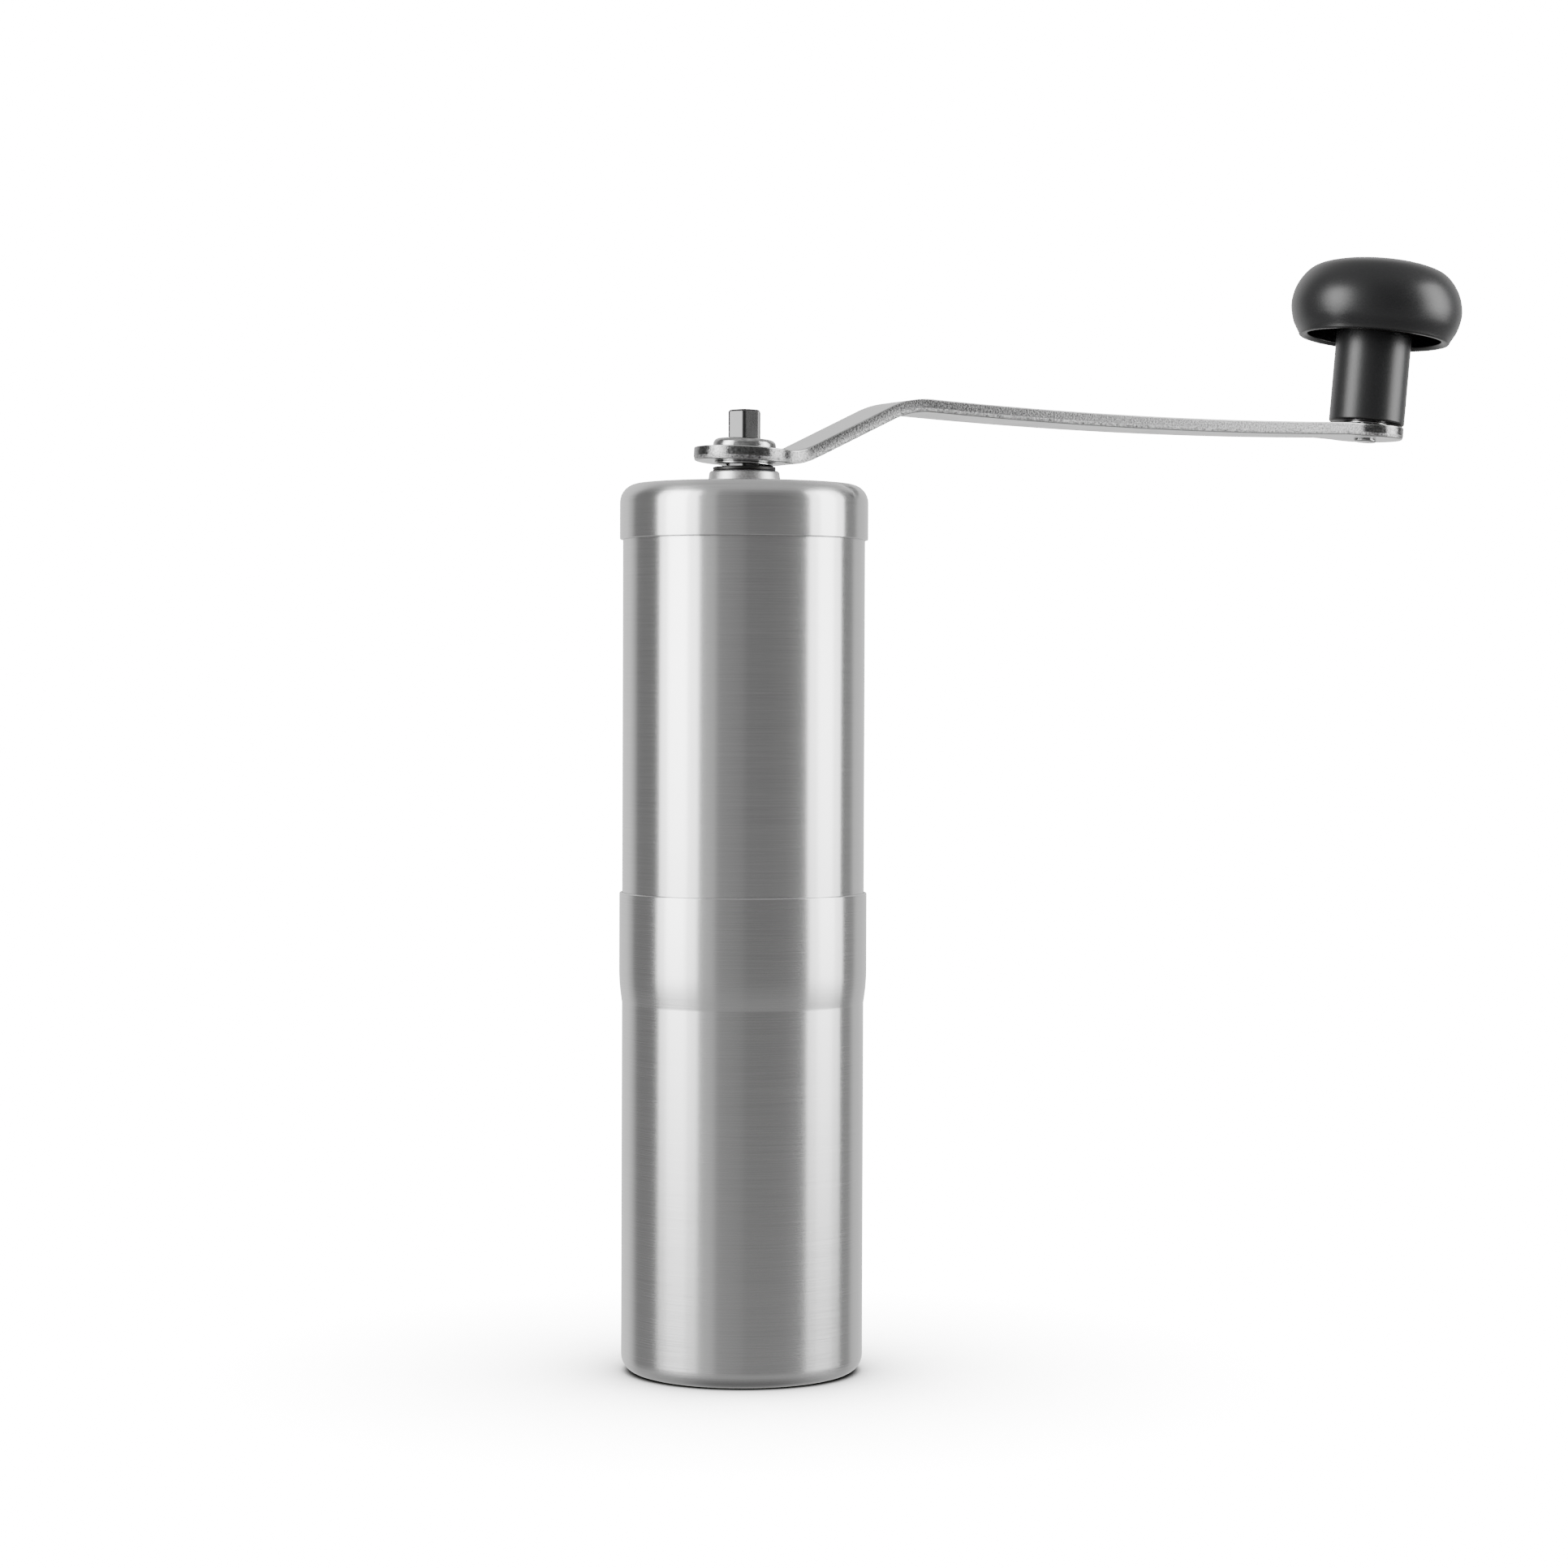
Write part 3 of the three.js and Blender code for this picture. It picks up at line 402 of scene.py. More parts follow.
# %% Barrel
barrel_wall = 0.8
barrel_bore = body_r - barrel_wall
barrel_profile = [
    [barrel_bore, barrel_low.z, 0.15],
    [body_r, barrel_low.z, 0.25],
    [body_r, barrel_high.z, 0.25],
    [barrel_bore, barrel_high.z, 0.15],
]
barrel = turned("barrel_tube_wall", barrel_profile, "barrel", "barrel_tube", around=192)
coat(barrel, body_steel)
print("barrel", round(barrel_high.z - barrel_low.z, 1), "mm long")

# %% [markdown]
# ## The lid
# A shallow pressed cap. A press tool leaves a generous corner between top and skirt, and the
# skirt's lower edge is trimmed and tumbled, so a thin bright line runs round it.

# %% Lid
lid_low, lid_high = size_of("lid_shell")
ferrule_low, ferrule_high = size_of("lid_ferrule")
lid_r = lid_high.x
lid_wall = 0.5
lid_top_wall = 0.7
lid_corner = 3.6
ferrule_flange = 0.9
spigot_r = ferrule_high.x - ferrule_flange
lid_hole = spigot_r + 2 * SLIP
lid_profile = [
    [lid_hole, lid_high.z - lid_top_wall],
    [lid_r - lid_wall, lid_high.z - lid_top_wall, lid_corner - lid_wall],
    [lid_r - lid_wall, lid_low.z, 0.15],
    [lid_r, lid_low.z, 0.22],
    [lid_r, lid_high.z, lid_corner],
    [lid_hole, lid_high.z, 0.2],
]
lid = coat(turned("lid_pressed_shell", lid_profile, "lid", "lid_shell", around=192), body_steel)
print("lid", round(lid_high.z - lid_low.z, 1), "mm tall")

# %% [markdown]
# ## Ferrule, bush and thrust ring
# The ferrule is pressed through the lid and guides the shaft. A nylon bush lines it, and a black
# ring lies on top for the handle's hub to run on. Each is turned, with edges a quarter millimetre
# round.

# %% Ferrule, bush and ring
bush_low, bush_high = size_of("lid_bush")
ring_low, ring_high = size_of("thrust_ring")
bush_r = bush_high.x
bush_wall = 1.4
bush_bore = bush_r - bush_wall
ferrule_bore = bush_r + SLIP
flange_foot = lid_high.z + SEAT
ferrule_profile = [
    [ferrule_bore, ferrule_low.z],
    [spigot_r, ferrule_low.z, 0.2],
    [spigot_r, flange_foot],
    [ferrule_high.x, flange_foot, 0.12],
    [ferrule_high.x, flange_foot + 0.8, 0.3],
    [ferrule_high.x - 0.25, ferrule_high.z, 0.55],
    [ferrule_bore, ferrule_high.z, 0.15],
]
ferrule = coat(turned("lid_guide_ferrule", ferrule_profile, "lid", "lid_ferrule"), satin_aluminium)
bush_profile = [
    [bush_bore, bush_low.z, 0.2],
    [bush_r, bush_low.z, 0.2],
    [bush_r, bush_high.z, 0.15],
    [bush_bore, bush_high.z, 0.25],
]
bush = coat(turned("lid_guide_bush", bush_profile, "lid", "lid_bush"), nylon)
ring_profile = [
    [bush_bore, ring_low.z, 0.15],
    [ring_high.x, ring_low.z, 0.2],
    [ring_high.x, ring_high.z, 0.2],
    [bush_bore, ring_high.z, 0.15],
]
ring = coat(turned("hub_thrust_ring", ring_profile, "thrust_ring", "thrust_ring"), nylon)
print("ferrule", round(2 * ferrule_high.x, 1), "mm across, ring", round(2 * ring_high.x, 1))

# %% [markdown]
# ## The shaft
# Hexagon bar with its six edges rolled round and its top end faced to a low dome. Below the lid
# it is turned down to a round journal, then milled to two flats that drive the burr, and ends in
# a threaded length for the adjuster, drawn as one ridge for each turn. Each cross-section is a
# ring of points at even angles, so neighbours of different shape still join up.

# %% Shaft
AROUND = 144
shaft_low, shaft_high = size_of("shaft")
flats = 2 * shaft_high.y
edge_r = 0.8


def hexagon(across, edge, height):
    """Points of a hexagon with rounded edges, one of them on X, spread evenly by angle."""
    points = []
    tip = (across / 2 - edge) / math.cos(math.pi / 6)
    for k in range(AROUND):
        a = 2 * math.pi * k / AROUND
        off = (a + math.pi / 6) % (math.pi / 3) - math.pi / 6
        out = across / 2 / math.cos(math.pi / 6 - abs(off))
        if abs(off) < math.atan2(edge / 2, tip + edge * math.cos(math.pi / 6)):
            out = tip * math.cos(off) + math.sqrt(edge * edge - (tip * math.sin(off)) ** 2)
        points.append((out * math.cos(a), out * math.sin(a), height))
    return points


def two_flats(radius, across, height):
    """Points of a circle with a flat on each side of X."""
    points = []
    for x, y, z in circle(radius, height, AROUND):
        points.append((x, max(-across / 2, min(across / 2, y)), z))
    return points


shoulder = size_of("upper_washer")[1].z + 0.1
carrier_low, carrier_high = size_of("burr_carrier")
drive_top = carrier_high.z + 4
thread_top = carrier_low.z
thread_r, thread_root, pitch = 2.5, 2.15, 0.8
journal_r, drive_flats = 3.0, 4.8
JUMP = 0.01  # height of a square shoulder
sections = [
    circle(AXIS_R, shaft_low.z, AROUND),
    circle(thread_r - 0.4, shaft_low.z, AROUND),
    circle(thread_r, shaft_low.z + 0.4, AROUND),
]
turn_count = int((thread_top - shaft_low.z - 1) / pitch)
for turn in range(turn_count):
    foot = shaft_low.z + 0.6 + turn * pitch
    sections += [
        circle(thread_r, foot, AROUND),
        circle(thread_r, foot + 0.15, AROUND),
        circle(thread_root, foot + 0.45, AROUND),
        circle(thread_r, foot + 0.75, AROUND),
    ]
DOME_RISE = 0.75
sections += [
    circle(thread_r, thread_top, AROUND),
    two_flats(journal_r, drive_flats, thread_top + JUMP),
    two_flats(journal_r, drive_flats, drive_top),
    circle(journal_r, drive_top + JUMP, AROUND),
    circle(journal_r, shoulder, AROUND),
    hexagon(flats - 0.3, edge_r, shoulder + JUMP),
    hexagon(flats, edge_r, shoulder + 0.3),
    hexagon(flats, edge_r, shaft_high.z - DOME_RISE),
]
for step in range(1, 9):
    share = math.radians(90 * step / 8)
    inset = 1 - math.cos(share)
    height = shaft_high.z - DOME_RISE + (DOME_RISE - 0.2) * math.sin(share)
    sections.append(hexagon(flats - 1.24 * inset, max(edge_r - 0.3 * inset, 0.2), height))
sections += [hexagon(0.4 * flats, 0.4, shaft_high.z - 0.03), circle(AXIS_R, shaft_high.z, AROUND)]
bm = loft(sections, closed=False)
shaft = coat(finish_mesh("drive_shaft", bm, "shaft", "shaft"), ground_steel)
print("shaft", round(flats, 2), "mm across flats,", turn_count, "thread ridges")

# %% [markdown]
# ## The handle's own frame
# The hub is a loose fit on the shaft, so the handle leans down a little towards its knob. Its
# pieces are drawn level, with the hub at the origin, and then leaned and lifted into place. The
# knob's pin leans out again on the arm's end.

# %% Handle frame
LEAN = math.radians(2.85)
arm_thickness = 2.6
reach = 147.8
hub_eye = 9.8
knob_eye = 7.9
PAST_EYE = 2.0  # the bent line runs on past the blank's ends
first_bend = 8.9
second_bend = first_bend + 23.8
last_bend = reach - 9.2
bow = (second_bend + last_bend) / 2
line_end = reach + knob_eye + PAST_EYE
rise = (second_bend - first_bend) * math.tan(math.radians(28.1))
last_z = rise + (last_bend - bow) * math.tan(math.radians(4.5))
eye_slope = math.tan(math.radians(0.5))
arm_line = [
    [-hub_eye - PAST_EYE, 0],
    [first_bend, 0, 10],
    [second_bend, rise, 20],
    [bow, rise, 1200],
    [last_bend, last_z, 30],
    [line_end, last_z + (line_end - last_bend) * eye_slope],
]
eye_z = last_z + (reach - last_bend) * eye_slope
spin = next(joint for joint in frame["joints"] if joint["name"] == "knob_spin")
knob_foot = Vector(spin["pos_m"])
knob_turn = Vector(spin["axis"]).to_track_quat("Z", "Y").to_matrix().to_4x4()
knob_place = Matrix.Translation(knob_foot / MM) @ knob_turn
level_foot = Matrix.Rotation(LEAN, 4, "Y") @ Vector((reach, 0, eye_z))
arm_z = knob_foot.z / MM - level_foot.z
handle_place = Matrix.Translation((0, 0, arm_z)) @ Matrix.Rotation(LEAN, 4, "Y")
print("arm top on the axis at", round(arm_z, 2), "mm, knob foot", [round(v, 4) for v in knob_foot])

# %% [markdown]
# ## The crank arm
# A strip blank, round at both ends, with fillets where the straight edges run into the ends. It
# is bent up in two folds and bowed along its length. The mesh follows the blank: a fan of quads
# round each hole and a strip between them. The upper side follows the bent line and the lower
# side lies one thickness below it. Between them the edge is a burnished land, two thirds of the
# thickness, and a torn band that leans in by a fifth of a millimetre below it. A small bevel
# rounds the corners of the blank, as tumbling before the plating does.

# %% Crank arm
half_width = 6.8
eye_fillet = 12.0
DOME_WIDTH = 1.5  # the riveted rim's overhang
pin_r = 2.0
hub_hole = size_of("drive_hub")[1].y - DOME_WIDTH + SLIP
pin_hole = pin_r + SLIP
land = 0.68  # the burnished land's share of the thickness
torn_lean = 0.22
LONGEST_STEP = 2.5  # quads along the strip
SHORTEST_STEP = 0.12

upper = rounded(arm_line, closed=False, steps=24)
lower = []
for i, point in enumerate(upper):
    along = (upper[min(i + 1, len(upper) - 1)] - upper[max(i - 1, 0)]).normalized()
    lower.append(Vector((point.x + along.y * arm_thickness, point.y - along.x * arm_thickness)))


def height_on(line, x):
    """The height of a line of points at x."""
    for before, after in zip(line, line[1:]):
        if before.x <= x <= after.x:
            share = (x - before.x) / max(after.x - before.x, 1e-9)
            return before.y + share * (after.y - before.y)
    return line[0].y if x < line[0].x else line[-1].y


def arc(cx, cy, radius, start, end, steps):
    """Points on an arc, from one angle to another."""
    angles = [start + (end - start) * k / steps for k in range(steps + 1)]
    return [Vector((cx + radius * math.cos(a), cy + radius * math.sin(a))) for a in angles]


def eye_outline(eye):
    """The blank's edge round one eye at the origin, from the arm's far edge to its near one,
    and the place along the arm where it ends."""
    y = half_width + eye_fillet
    x = math.sqrt((eye + eye_fillet) ** 2 - y * y)
    a = math.atan2(y, x)
    points = arc(x, y, eye_fillet, -math.pi / 2, a - math.pi, 8)[:-1]
    points += arc(0, 0, eye, a, 2 * math.pi - a, 56)
    points += arc(x, -y, eye_fillet, math.pi - a, math.pi / 2, 8)[1:]
    return points, x


def fan(centre_x, flip, outline, hole):
    """Rings of points from the blank's edge round one eye in to its round hole."""
    outer, joint_x = outline
    edge = outer + [Vector((joint_x, y)) for y in seam[1:-1]]
    if flip:
        edge = [Vector((-p.x, p.y)) for p in edge]
    rings = []
    for share in (0, 0.3, 0.65, 1):
        points = []
        for p in edge:
            inner = p.normalized() * hole
            points.append(p.lerp(inner, share) + Vector((centre_x, 0)))
        rings.append(points)
    return rings


seam = [half_width * (2 * k / 8 - 1) for k in range(9)]
hub_outline = eye_outline(hub_eye)
knob_outline = eye_outline(knob_eye)
strip_start = hub_outline[1]
strip_end = reach - knob_outline[1]


def arm_side(bm, line):
    """One side of the arm, both fans and the strip, as faces. Gives its vertices by place."""
    found = {}

    def vertex(p):
        key = (round(p.x, 3), round(p.y, 3))
        if key not in found:
            found[key] = bm.verts.new((p.x, p.y, height_on(line, p.x)))
        return found[key]

    hub_fan = fan(0, False, hub_outline, hub_hole)
    knob_fan = fan(reach, True, knob_outline, pin_hole)
    for rings in (hub_fan, knob_fan):
        skin(bm, [[vertex(p) for p in ring] for ring in rings], closed=False)
    stations = [p.x for p in upper if strip_start < p.x < strip_end]
    dense = [strip_start]
    for x in stations + [strip_end]:
        start = dense[-1]
        gap = x - start
        pieces = math.ceil(gap / LONGEST_STEP) if gap > SHORTEST_STEP else 0
        dense += [start + gap * (k + 1) / pieces for k in range(pieces)]
    dense[-1] = strip_end
    rows = [[vertex(Vector((x, y))) for y in seam] for x in dense]
    for left, right in zip(rows, rows[1:]):
        for k in range(len(seam) - 1):
            bm.faces.new((left[k], right[k], right[k + 1], left[k + 1]))
    return found


bm = bmesh.new()
top_found = arm_side(bm, upper)
low_found = arm_side(bm, lower)
partner = {vert: low_found[key] for key, vert in top_found.items()}
boundary = [edge for edge in bm.edges if edge.is_boundary and edge.verts[0] in partner]
inward = {vert: Vector() for edge in boundary for vert in edge.verts}
for edge in boundary:
    a, b = edge.verts
    side = (b.co - a.co).cross(Vector((0, 0, 1))).normalized()
    into = edge.link_faces[0].calc_center_median() - a.co
    for vert in (a, b):
        inward[vert] += side * math.copysign(1, side.dot(into))
middle = {vert: bm.verts.new(vert.co.lerp(partner[vert].co, land)) for vert in inward}
for vert, direction in inward.items():
    partner[vert].co += direction.normalized() * torn_lean
for edge in boundary:
    a, b = edge.verts
    bm.faces.new((a, b, middle[b], middle[a])).material_index = 1
    bm.faces.new((middle[a], middle[b], partner[b], partner[a])).material_index = 2
arm = finish_mesh("crank_arm_strip", bm, "handle", "crank_arm", place=handle_place)
edge_round = bevel(arm, "edge_round", 0.22, 3, 50)
edge_round.material = 0
edge_round.harden_normals = True
coat(arm, plate_face, plate_land, plate_torn)
print("arm", len(arm.data.polygons), "faces,", round(reach, 1), "mm between its holes")

# %% [markdown]
# ## The hub
# A turned steel boss with a hexagon hole, pushed through the arm from below and riveted over: the
# metal above spreads into a domed rim. Its outside is round and its inside is six-sided.

# %% Hub
hub_neck = hub_hole - SLIP
hub_rim = hub_neck + 1.1
hub_dome = hub_neck + DOME_WIDTH
under = -arm_thickness - SEAT
hub_foot = under - 0.4
hub_top = SEAT + 1.9
bore = flats + 0.6
outside = rounded(
    [
        [hub_neck - 0.3, hub_foot],
        [hub_rim, hub_foot, 0.18],
        [hub_rim, under, 0.08],
        [hub_neck, under],
        [hub_neck, SEAT],
        [hub_dome, SEAT, 0.2],
        [hub_dome, hub_top, 1.1],
        [hub_neck - 0.45, hub_top],
    ],
    closed=False,
)
sections = [circle(p.x, p.y, AROUND) for p in outside]
sections += [
    hexagon(bore + 0.35, edge_r, hub_top - 0.02),
    hexagon(bore, edge_r, hub_top - 0.2),
    hexagon(bore, edge_r, hub_foot + 0.15),
    hexagon(bore + 0.2, edge_r, hub_foot),
]
bm = loft(sections, closed=True)
hub = finish_mesh("drive_hub_boss", bm, "handle", "drive_hub", place=handle_place)
coat(hub, plate_turned)
print("hub", round(2 * hub_dome, 1), "mm across its dome")

# %% [markdown]
# ## Pin and washer
# The knob turns on a turned steel pin, riveted through the arm's eye with a low head below. A
# groove near its top takes the clip that keeps the knob on, and a spring washer spaces the post.

# %% Knob pin and washer
skew = math.sin(math.radians(3.4))
head_r = 2.4
head_top = -arm_thickness - SEAT - head_r * skew
head_foot = head_top - 0.4
pin_length = 29.8
groove_r, groove_foot, groove_top = pin_r - 0.4, 28.25, 28.85
pin_profile = [
    [0, head_foot],
    [head_r, head_foot, 0.32],
    [head_r, head_top, 0.05],
    [pin_r, head_top],
    [pin_r, groove_foot],
    [groove_r, groove_foot],
    [groove_r, groove_top],
    [pin_r, groove_top],
    [pin_r, pin_length, 0.3],
    [0, pin_length],
]
pin = turned("knob_rivet_pin", pin_profile, "handle", "knob_pin", around=64, place=knob_place)
coat(pin, plate_turned)
washer_r = 5.0
washer_z = SEAT + washer_r * skew
washer_top = washer_z + 0.3
washer_profile = [
    [pin_hole, washer_z, 0.05],
    [washer_r, washer_z, 0.08],
    [washer_r, washer_top, 0.08],
    [pin_hole, washer_top, 0.05],
]
washer = turned("knob_washer", washer_profile, "handle", "pin_washer", around=96, place=knob_place)
coat(washer, spring_steel)
print("pin head", round(head_top, 2), "washer", round(washer_z, 2))

# %% [markdown]
# ## Post and cap
# The post is a straight moulded sleeve that runs on the pin, with a well in its top for the clip.
# The cap is a flattened dome, widest below its middle, with a rolled lip and a hollow underside
# whose socket is pressed over the post.

# %% Knob post and cap
post_r = 7.95
post_foot = washer_top + SEAT
post_top = 30.4
post_bore = pin_r + 0.18
well_r = post_bore + 2.5
well_floor = 27.8
post_profile = [
    [post_bore, post_foot, 0.15],
    [post_r, post_foot, 0.45],
    [post_r, post_top, 0.2],
    [well_r, post_top, 0.1],
    [well_r, well_floor],
    [post_bore, well_floor, 0.15],
]
post = turned("knob_post", post_profile, "knob", "knob_sleeve", place=knob_place)
coat(post, charcoal)

cap_rim = 18.6
cap_height = 16.7
cap_r = 18.0
cap_rim_r = 16.0
cap_widest = 0.42  # share of its height
lip = 0.6


def smooth_curve(points, steps):
    """A Catmull-Rom curve through points."""
    padded = [points[0] * 2 - points[1]] + points + [points[-1] * 2 - points[-2]]
    line = []
    for a, b, c, d in zip(padded, padded[1:], padded[2:], padded[3:]):
        slope, bend, twist = c - a, a * 2 - b * 5 + c * 4 - d, b * 3 - a - c * 3 + d
        for t in [step / steps for step in range(steps)]:
            line.append((b * 2 + slope * t + bend * t**2 + twist * t**3) / 2)
    return line + [points[-1]]


dome_shares = [
    (0.967, 0.2),
    (1, cap_widest),
    (0.94, 0.66),
    (0.79, 0.86),
    (0.56, 0.955),
    (0.28, 0.994),
    (0, 1),
]
dome = [Vector((cap_rim_r, cap_rim + lip))]
dome += [Vector((cap_r * across, cap_rim + cap_height * up)) for across, up in dome_shares]
outer = smooth_curve(dome, 8)
ceiling = post_top + 2 * SLIP
socket_r = post_r + SLIP
socket_wall = 1.5
hollow = rounded(
    [
        [0, ceiling],
        [socket_r, ceiling],
        [socket_r, ceiling - 5, 0.2],
        [socket_r + socket_wall, ceiling - 5, 0.2],
        [socket_r + socket_wall, ceiling - 1],
        [cap_r * 0.74, ceiling - 1, 2],
        [cap_r - 2.5, cap_rim + cap_height * cap_widest, 4],
        [cap_rim_r - 2, cap_rim + 0.5, 0.4],
        [cap_rim_r - 1.2, cap_rim, 0.5],
        [cap_rim_r - 0.2, cap_rim, 0.5],
        [cap_rim_r, cap_rim + lip],
    ],
    closed=False,
)
profile = hollow[:-1] + outer
bm = loft([circle(max(p.x, AXIS_R), p.y, 160) for p in profile], closed=False)
cap = coat(finish_mesh("knob_cap_dome", bm, "knob", "knob_cap", place=knob_place), charcoal)
print("cap", round(2 * cap_r, 1), "mm across")

# %% [markdown]
# ## The inner works
# Bushes, burrs, spring, liner and adjuster stay the imported pieces. Each one gets its own finish,
# and all but the burrs and the spring a fine bevel, because they show when the lid or the cup comes
# off.

# %% Carried pieces
carried = {
    nylon: ["burr_housing", "burr_retainer", "burr_carrier", "adjuster_wheel", "lid_liner"],
    machined_steel: ["outer_burr", "inner_burr"],
    spring_steel: ["upper_washer", "lower_washer", "burr_spring", "lid_clip", "pin_clip"],
    brass: ["lower_bush", "upper_bush", "adjuster_nut"],
}
KEEP_CRISP = ("outer_burr", "inner_burr", "burr_spring")  # teeth and wire
for material, names in carried.items():
    for name in names:
        piece = frame["nodes"][name]
        coat(piece, material)
        if name in KEEP_CRISP:
            continue
        bevel(piece, "soft_edge", 0.12, 2, 40)
print("carried over:", sum(len(names) for names in carried.values()), "pieces")

# %% [markdown]
# ## Floor, lights and camera
# The mill stands on a glowing opal table between two tall soft boxes. Each box has a brighter
# core, so its stripe down the tube is brightest along the middle, and the darker room between the
# boxes draws the grey band. Near the cup the table's glow is scaled down by an occlusion test: a
# painted contact shadow, and that is the whole shadow. A long lens from a little above the middle
# keeps the sides upright.

# %% Camera
VIEW = math.radians(28)
right = Vector((math.cos(VIEW), -math.sin(VIEW), 0))
toward = Vector((-math.sin(VIEW), -math.cos(VIEW), 0))
camera_data = bpy.data.cameras.new("studio_camera")
camera_data.sensor_width = 36
camera_data.lens = 87.6
stand = toward * 0.7412 + right * 0.0079 + Vector((0, 0, 0.1325))
camera = bpy.data.objects.new("studio_camera", camera_data)
bpy.context.scene.collection.objects.link(camera)
pitch_down = math.radians(1.414)
ahead = (-toward * math.cos(pitch_down) - Vector((0, 0, math.sin(pitch_down)))).normalized()
up = right.cross(ahead)
camera.matrix_world = (
    Matrix.Translation(stand)
    @ Matrix((right, up, -ahead)).transposed().to_4x4()
    @ Matrix.Rotation(math.radians(0.2), 4, "Z")
)
bpy.context.scene.camera = camera
print("camera at", [round(v, 3) for v in camera.matrix_world.translation])

# %% Floor
floor_mesh = bpy.data.meshes.new("studio_floor")
half_span = 6.0
corners = [(-1, -1), (1, -1), (1, 1), (-1, 1)]
spread_out = [(half_span * x, half_span * y, 0) for x, y in corners]
floor_mesh.from_pydata(spread_out, [], [(0, 1, 2, 3)])
floor = bpy.data.objects.new("studio_floor", floor_mesh)
bpy.context.scene.collection.objects.link(floor)
GLOW = 17.0  # bright enough to be seen as plain white
PAINTED_SHADOW_REACH = 0.09  # metres over which the painted contact shadow dims the glow near the cup
PAINTED_SHADOW_POWER = 4.0
light_table = bpy.data.materials.new("opal_light_table_painted_shadow")
light_table.use_nodes = True
tree = light_table.node_tree
tree.nodes.clear()
reach_out = {"Distance": PAINTED_SHADOW_REACH}
# painted contact shadow: the glow is scaled down by how much nearby geometry hides the open sky,
# not by a lamp's shadow
painted_shadow_ao = add(tree, "ShaderNodeAmbientOcclusion", reach_out, samples=16).outputs["AO"]
shade = add(tree, "ShaderNodeMath", {0: painted_shadow_ao, 1: PAINTED_SHADOW_POWER}, operation="POWER")
glow = add(tree, "ShaderNodeMath", {0: shade, 1: GLOW}, operation="MULTIPLY")
inputs = {"Base Color": linear("101010"), "Roughness": 0.9, "Specular IOR Level": 0.0}
inputs |= {"Emission Color": linear("FFFFFF"), "Emission Strength": glow}
shader = add(tree, "ShaderNodeBsdfPrincipled", inputs)
add(tree, "ShaderNodeOutputMaterial", {"Surface": shader})
coat(floor, light_table)
floor.visible_glossy = False
floor.visible_diffuse = False
print("floor", 2 * half_span, "m across")


# %% Lights
BOX_MIDDLE = 0.475  # metres above the floor


def soft_box(name, angle, distance, width, height, radiance):
    """A tall soft box at an angle round the mill from the camera's side, facing the axis."""
    data = bpy.data.lights.new(name, "AREA")
    data.shape = "RECTANGLE"
    data.size = width
    data.size_y = height
    data.energy = radiance * math.pi * width * height
    box = bpy.data.objects.new(name, data)
    a = math.radians(angle)
    spot = (toward * math.cos(a) + right * math.sin(a)) * distance
    box.location = spot + Vector((0, 0, BOX_MIDDLE))
    box.rotation_euler = (-spot).to_track_quat("-Z", "Y").to_euler()
    bpy.context.scene.collection.objects.link(box)
    return box


BOX_FAR, CORE_FAR = 1.2, 1.18  # metres from the axis, each core just before its box
BOX_TALL, CORE_TALL = 1.15, 1.05
soft_box("soft_box_left", -63.5, BOX_FAR, 0.94, BOX_TALL, 6.0)
soft_box("soft_box_left_core", -64.5, CORE_FAR, 0.45, CORE_TALL, 6.0)
soft_box("soft_box_right", 84.5, BOX_FAR, 0.90, BOX_TALL, 5.5)
soft_box("soft_box_right_core", 84.5, CORE_FAR, 0.4, CORE_TALL, 4.0)

# %% [markdown]
# ## The room
# A polished tube shows the whole room as upright bands, so the walls are drawn as a ramp of greys
# by their direction round the mill: pale beyond the boxes, dark flags beside them, and a grey
# middle behind the camera. Low and high directions fade to a grey of their own. The backdrop
# itself is seen only directly and is as bright as the table.

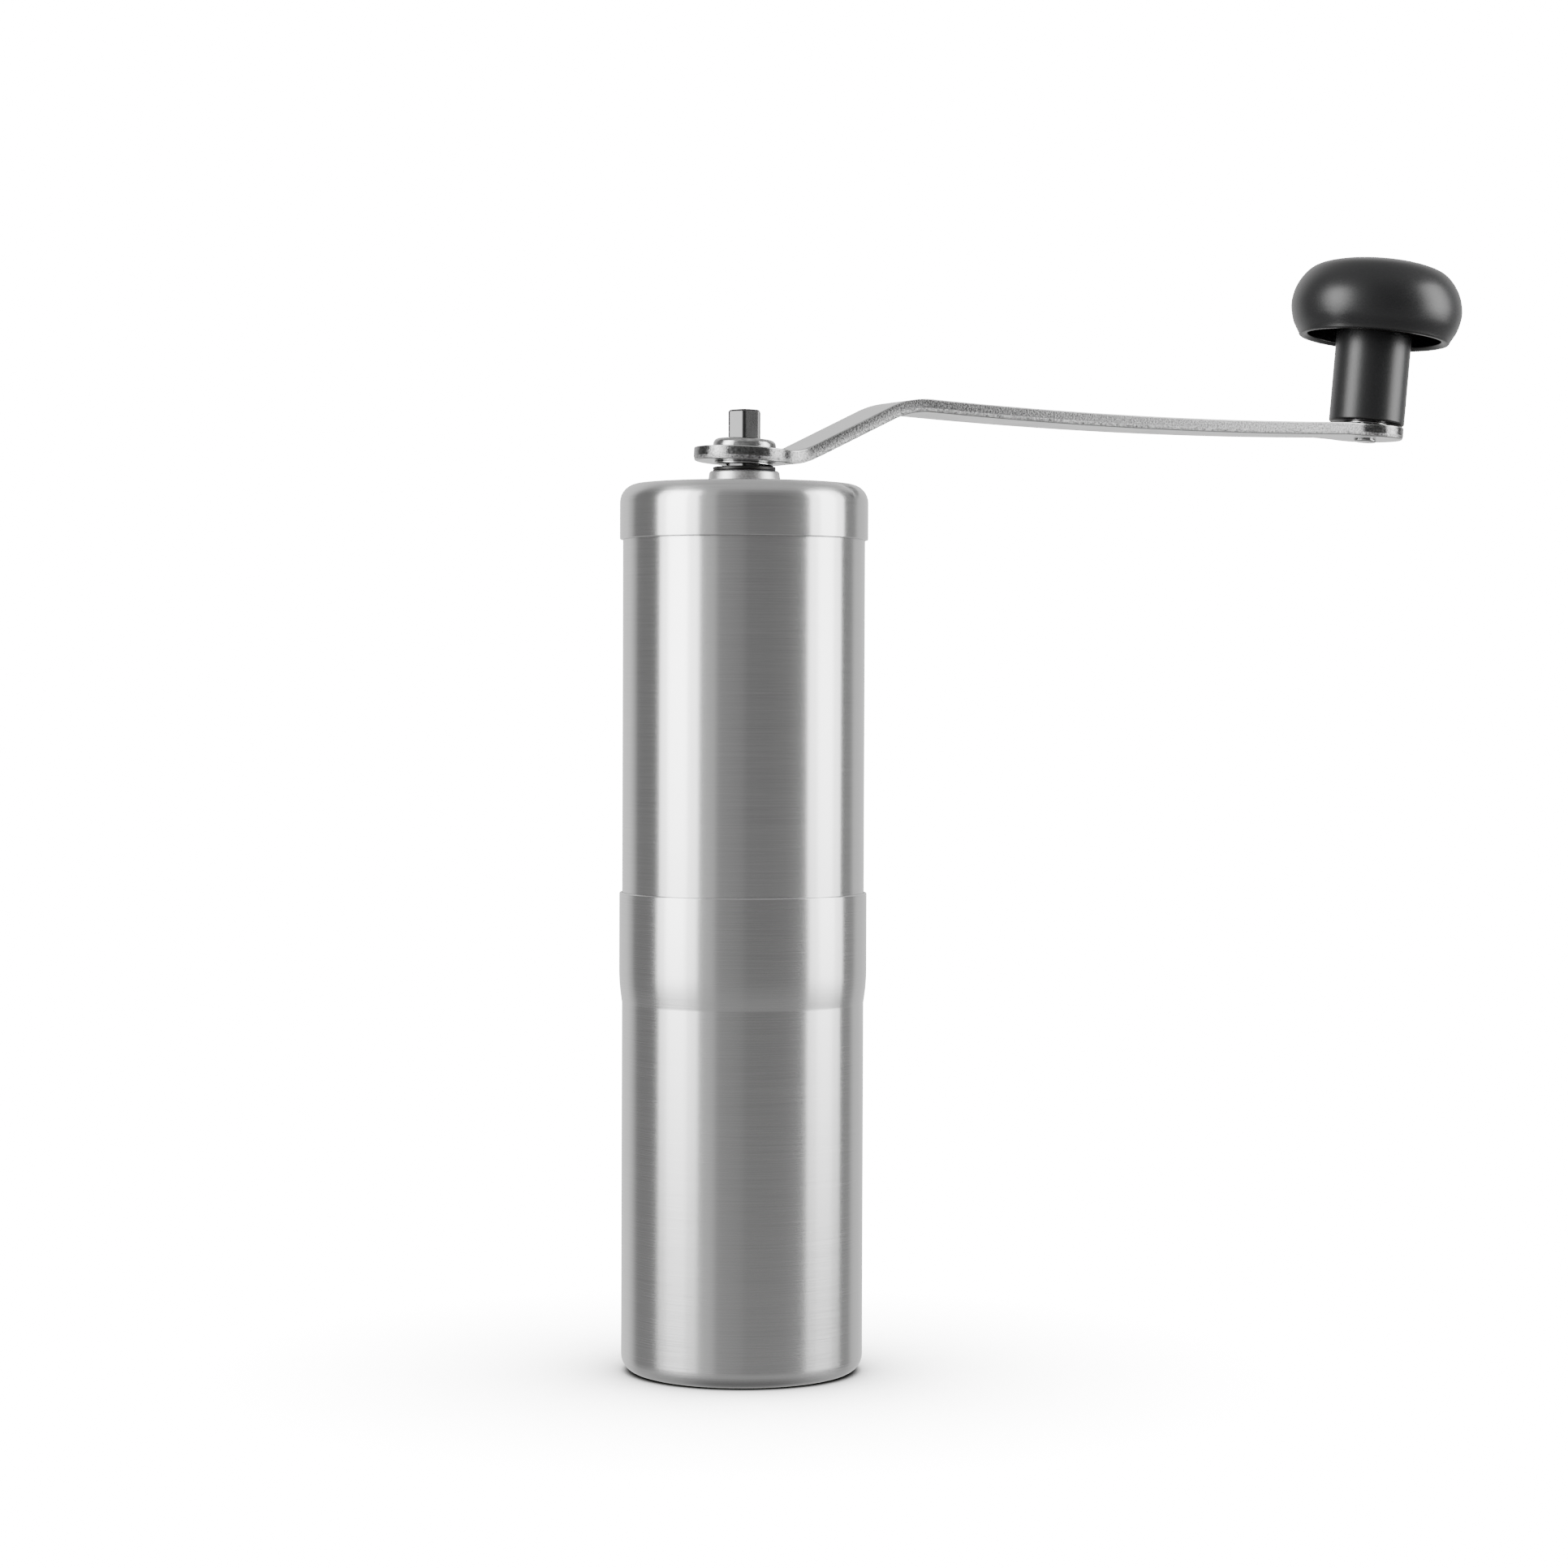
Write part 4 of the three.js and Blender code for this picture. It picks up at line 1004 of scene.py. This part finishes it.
# %% Room
# how light the walls are, by degrees round the mill from the camera's side
ROOM = [
    (-180, 1.2),
    (-138, 1.2),
    (-128, 0.75),
    (-120, 0.28),
    (-94, 0.26),
    (-86, 0.6),
    (-42, 0.85),
    (-27, 0.75),
    (-24, 0.4),
    (0, 0.31),
    (4, 0.25),
    (24, 0.24),
    (42, 0.27),
    (58, 0.38),
    (64, 0.7),
    (112, 0.35),
    (124, 0.4),
    (132, 0.9),
    (180, 1.2),
]
world = bpy.data.worlds.new("studio_room")
world.use_nodes = True
bpy.context.scene.world = world
tree = world.node_tree
tree.nodes.clear()
look = add(tree, "ShaderNodeTexCoord").outputs["Generated"]


def along(direction):
    """How far the view into the room points along a direction."""
    inputs = {0: look, 1: direction}
    return add(tree, "ShaderNodeVectorMath", inputs, operation="DOT_PRODUCT").outputs["Value"]


around = add(tree, "ShaderNodeMath", {0: along(right), 1: along(toward)}, operation="ARCTAN2")
once_round = {"Value": around, "From Min": -math.pi, "From Max": math.pi}
walls = add(tree, "ShaderNodeValToRGB", {"Fac": add(tree, "ShaderNodeMapRange", once_round)})
stops = walls.color_ramp.elements
stops[0].position, stops[1].position = 0.0, 1.0
for stop, (degrees, grey) in zip(list(stops), (ROOM[0], ROOM[-1])):
    stop.color = (grey, grey, grey, 1)
for degrees, grey in ROOM[1:-1]:
    stops.new((degrees + 180) / 360).color = (grey, grey, grey, 1)

# the zones above and below the walls: where each starts and is full, and its grey
ZONES = [(-0.22, -0.5, 0.6), (-0.6, -0.95, 0.2), (0.5, 0.85, 0.7)]
room = walls
for start, end, grey in ZONES:
    share = {"Value": along((0, 0, 1)), "From Min": start, "From Max": end}
    inputs = {0: add(tree, "ShaderNodeMapRange", share), 6: room, 7: (grey, grey, grey, 1)}
    room = add(tree, "ShaderNodeMix", inputs, data_type="RGBA").outputs[2]
backdrop = add(tree, "ShaderNodeBackground", {"Color": linear("FFFFFF"), "Strength": GLOW})
ambient = add(tree, "ShaderNodeBackground", {"Color": room, "Strength": 1.0})
seen = add(tree, "ShaderNodeLightPath").outputs["Is Camera Ray"]
both = add(tree, "ShaderNodeMixShader", {0: seen, 1: ambient, 2: backdrop})
add(tree, "ShaderNodeOutputWorld", {"Surface": both})
print("room:", len(ROOM), "wall tones,", len(ZONES), "zones")
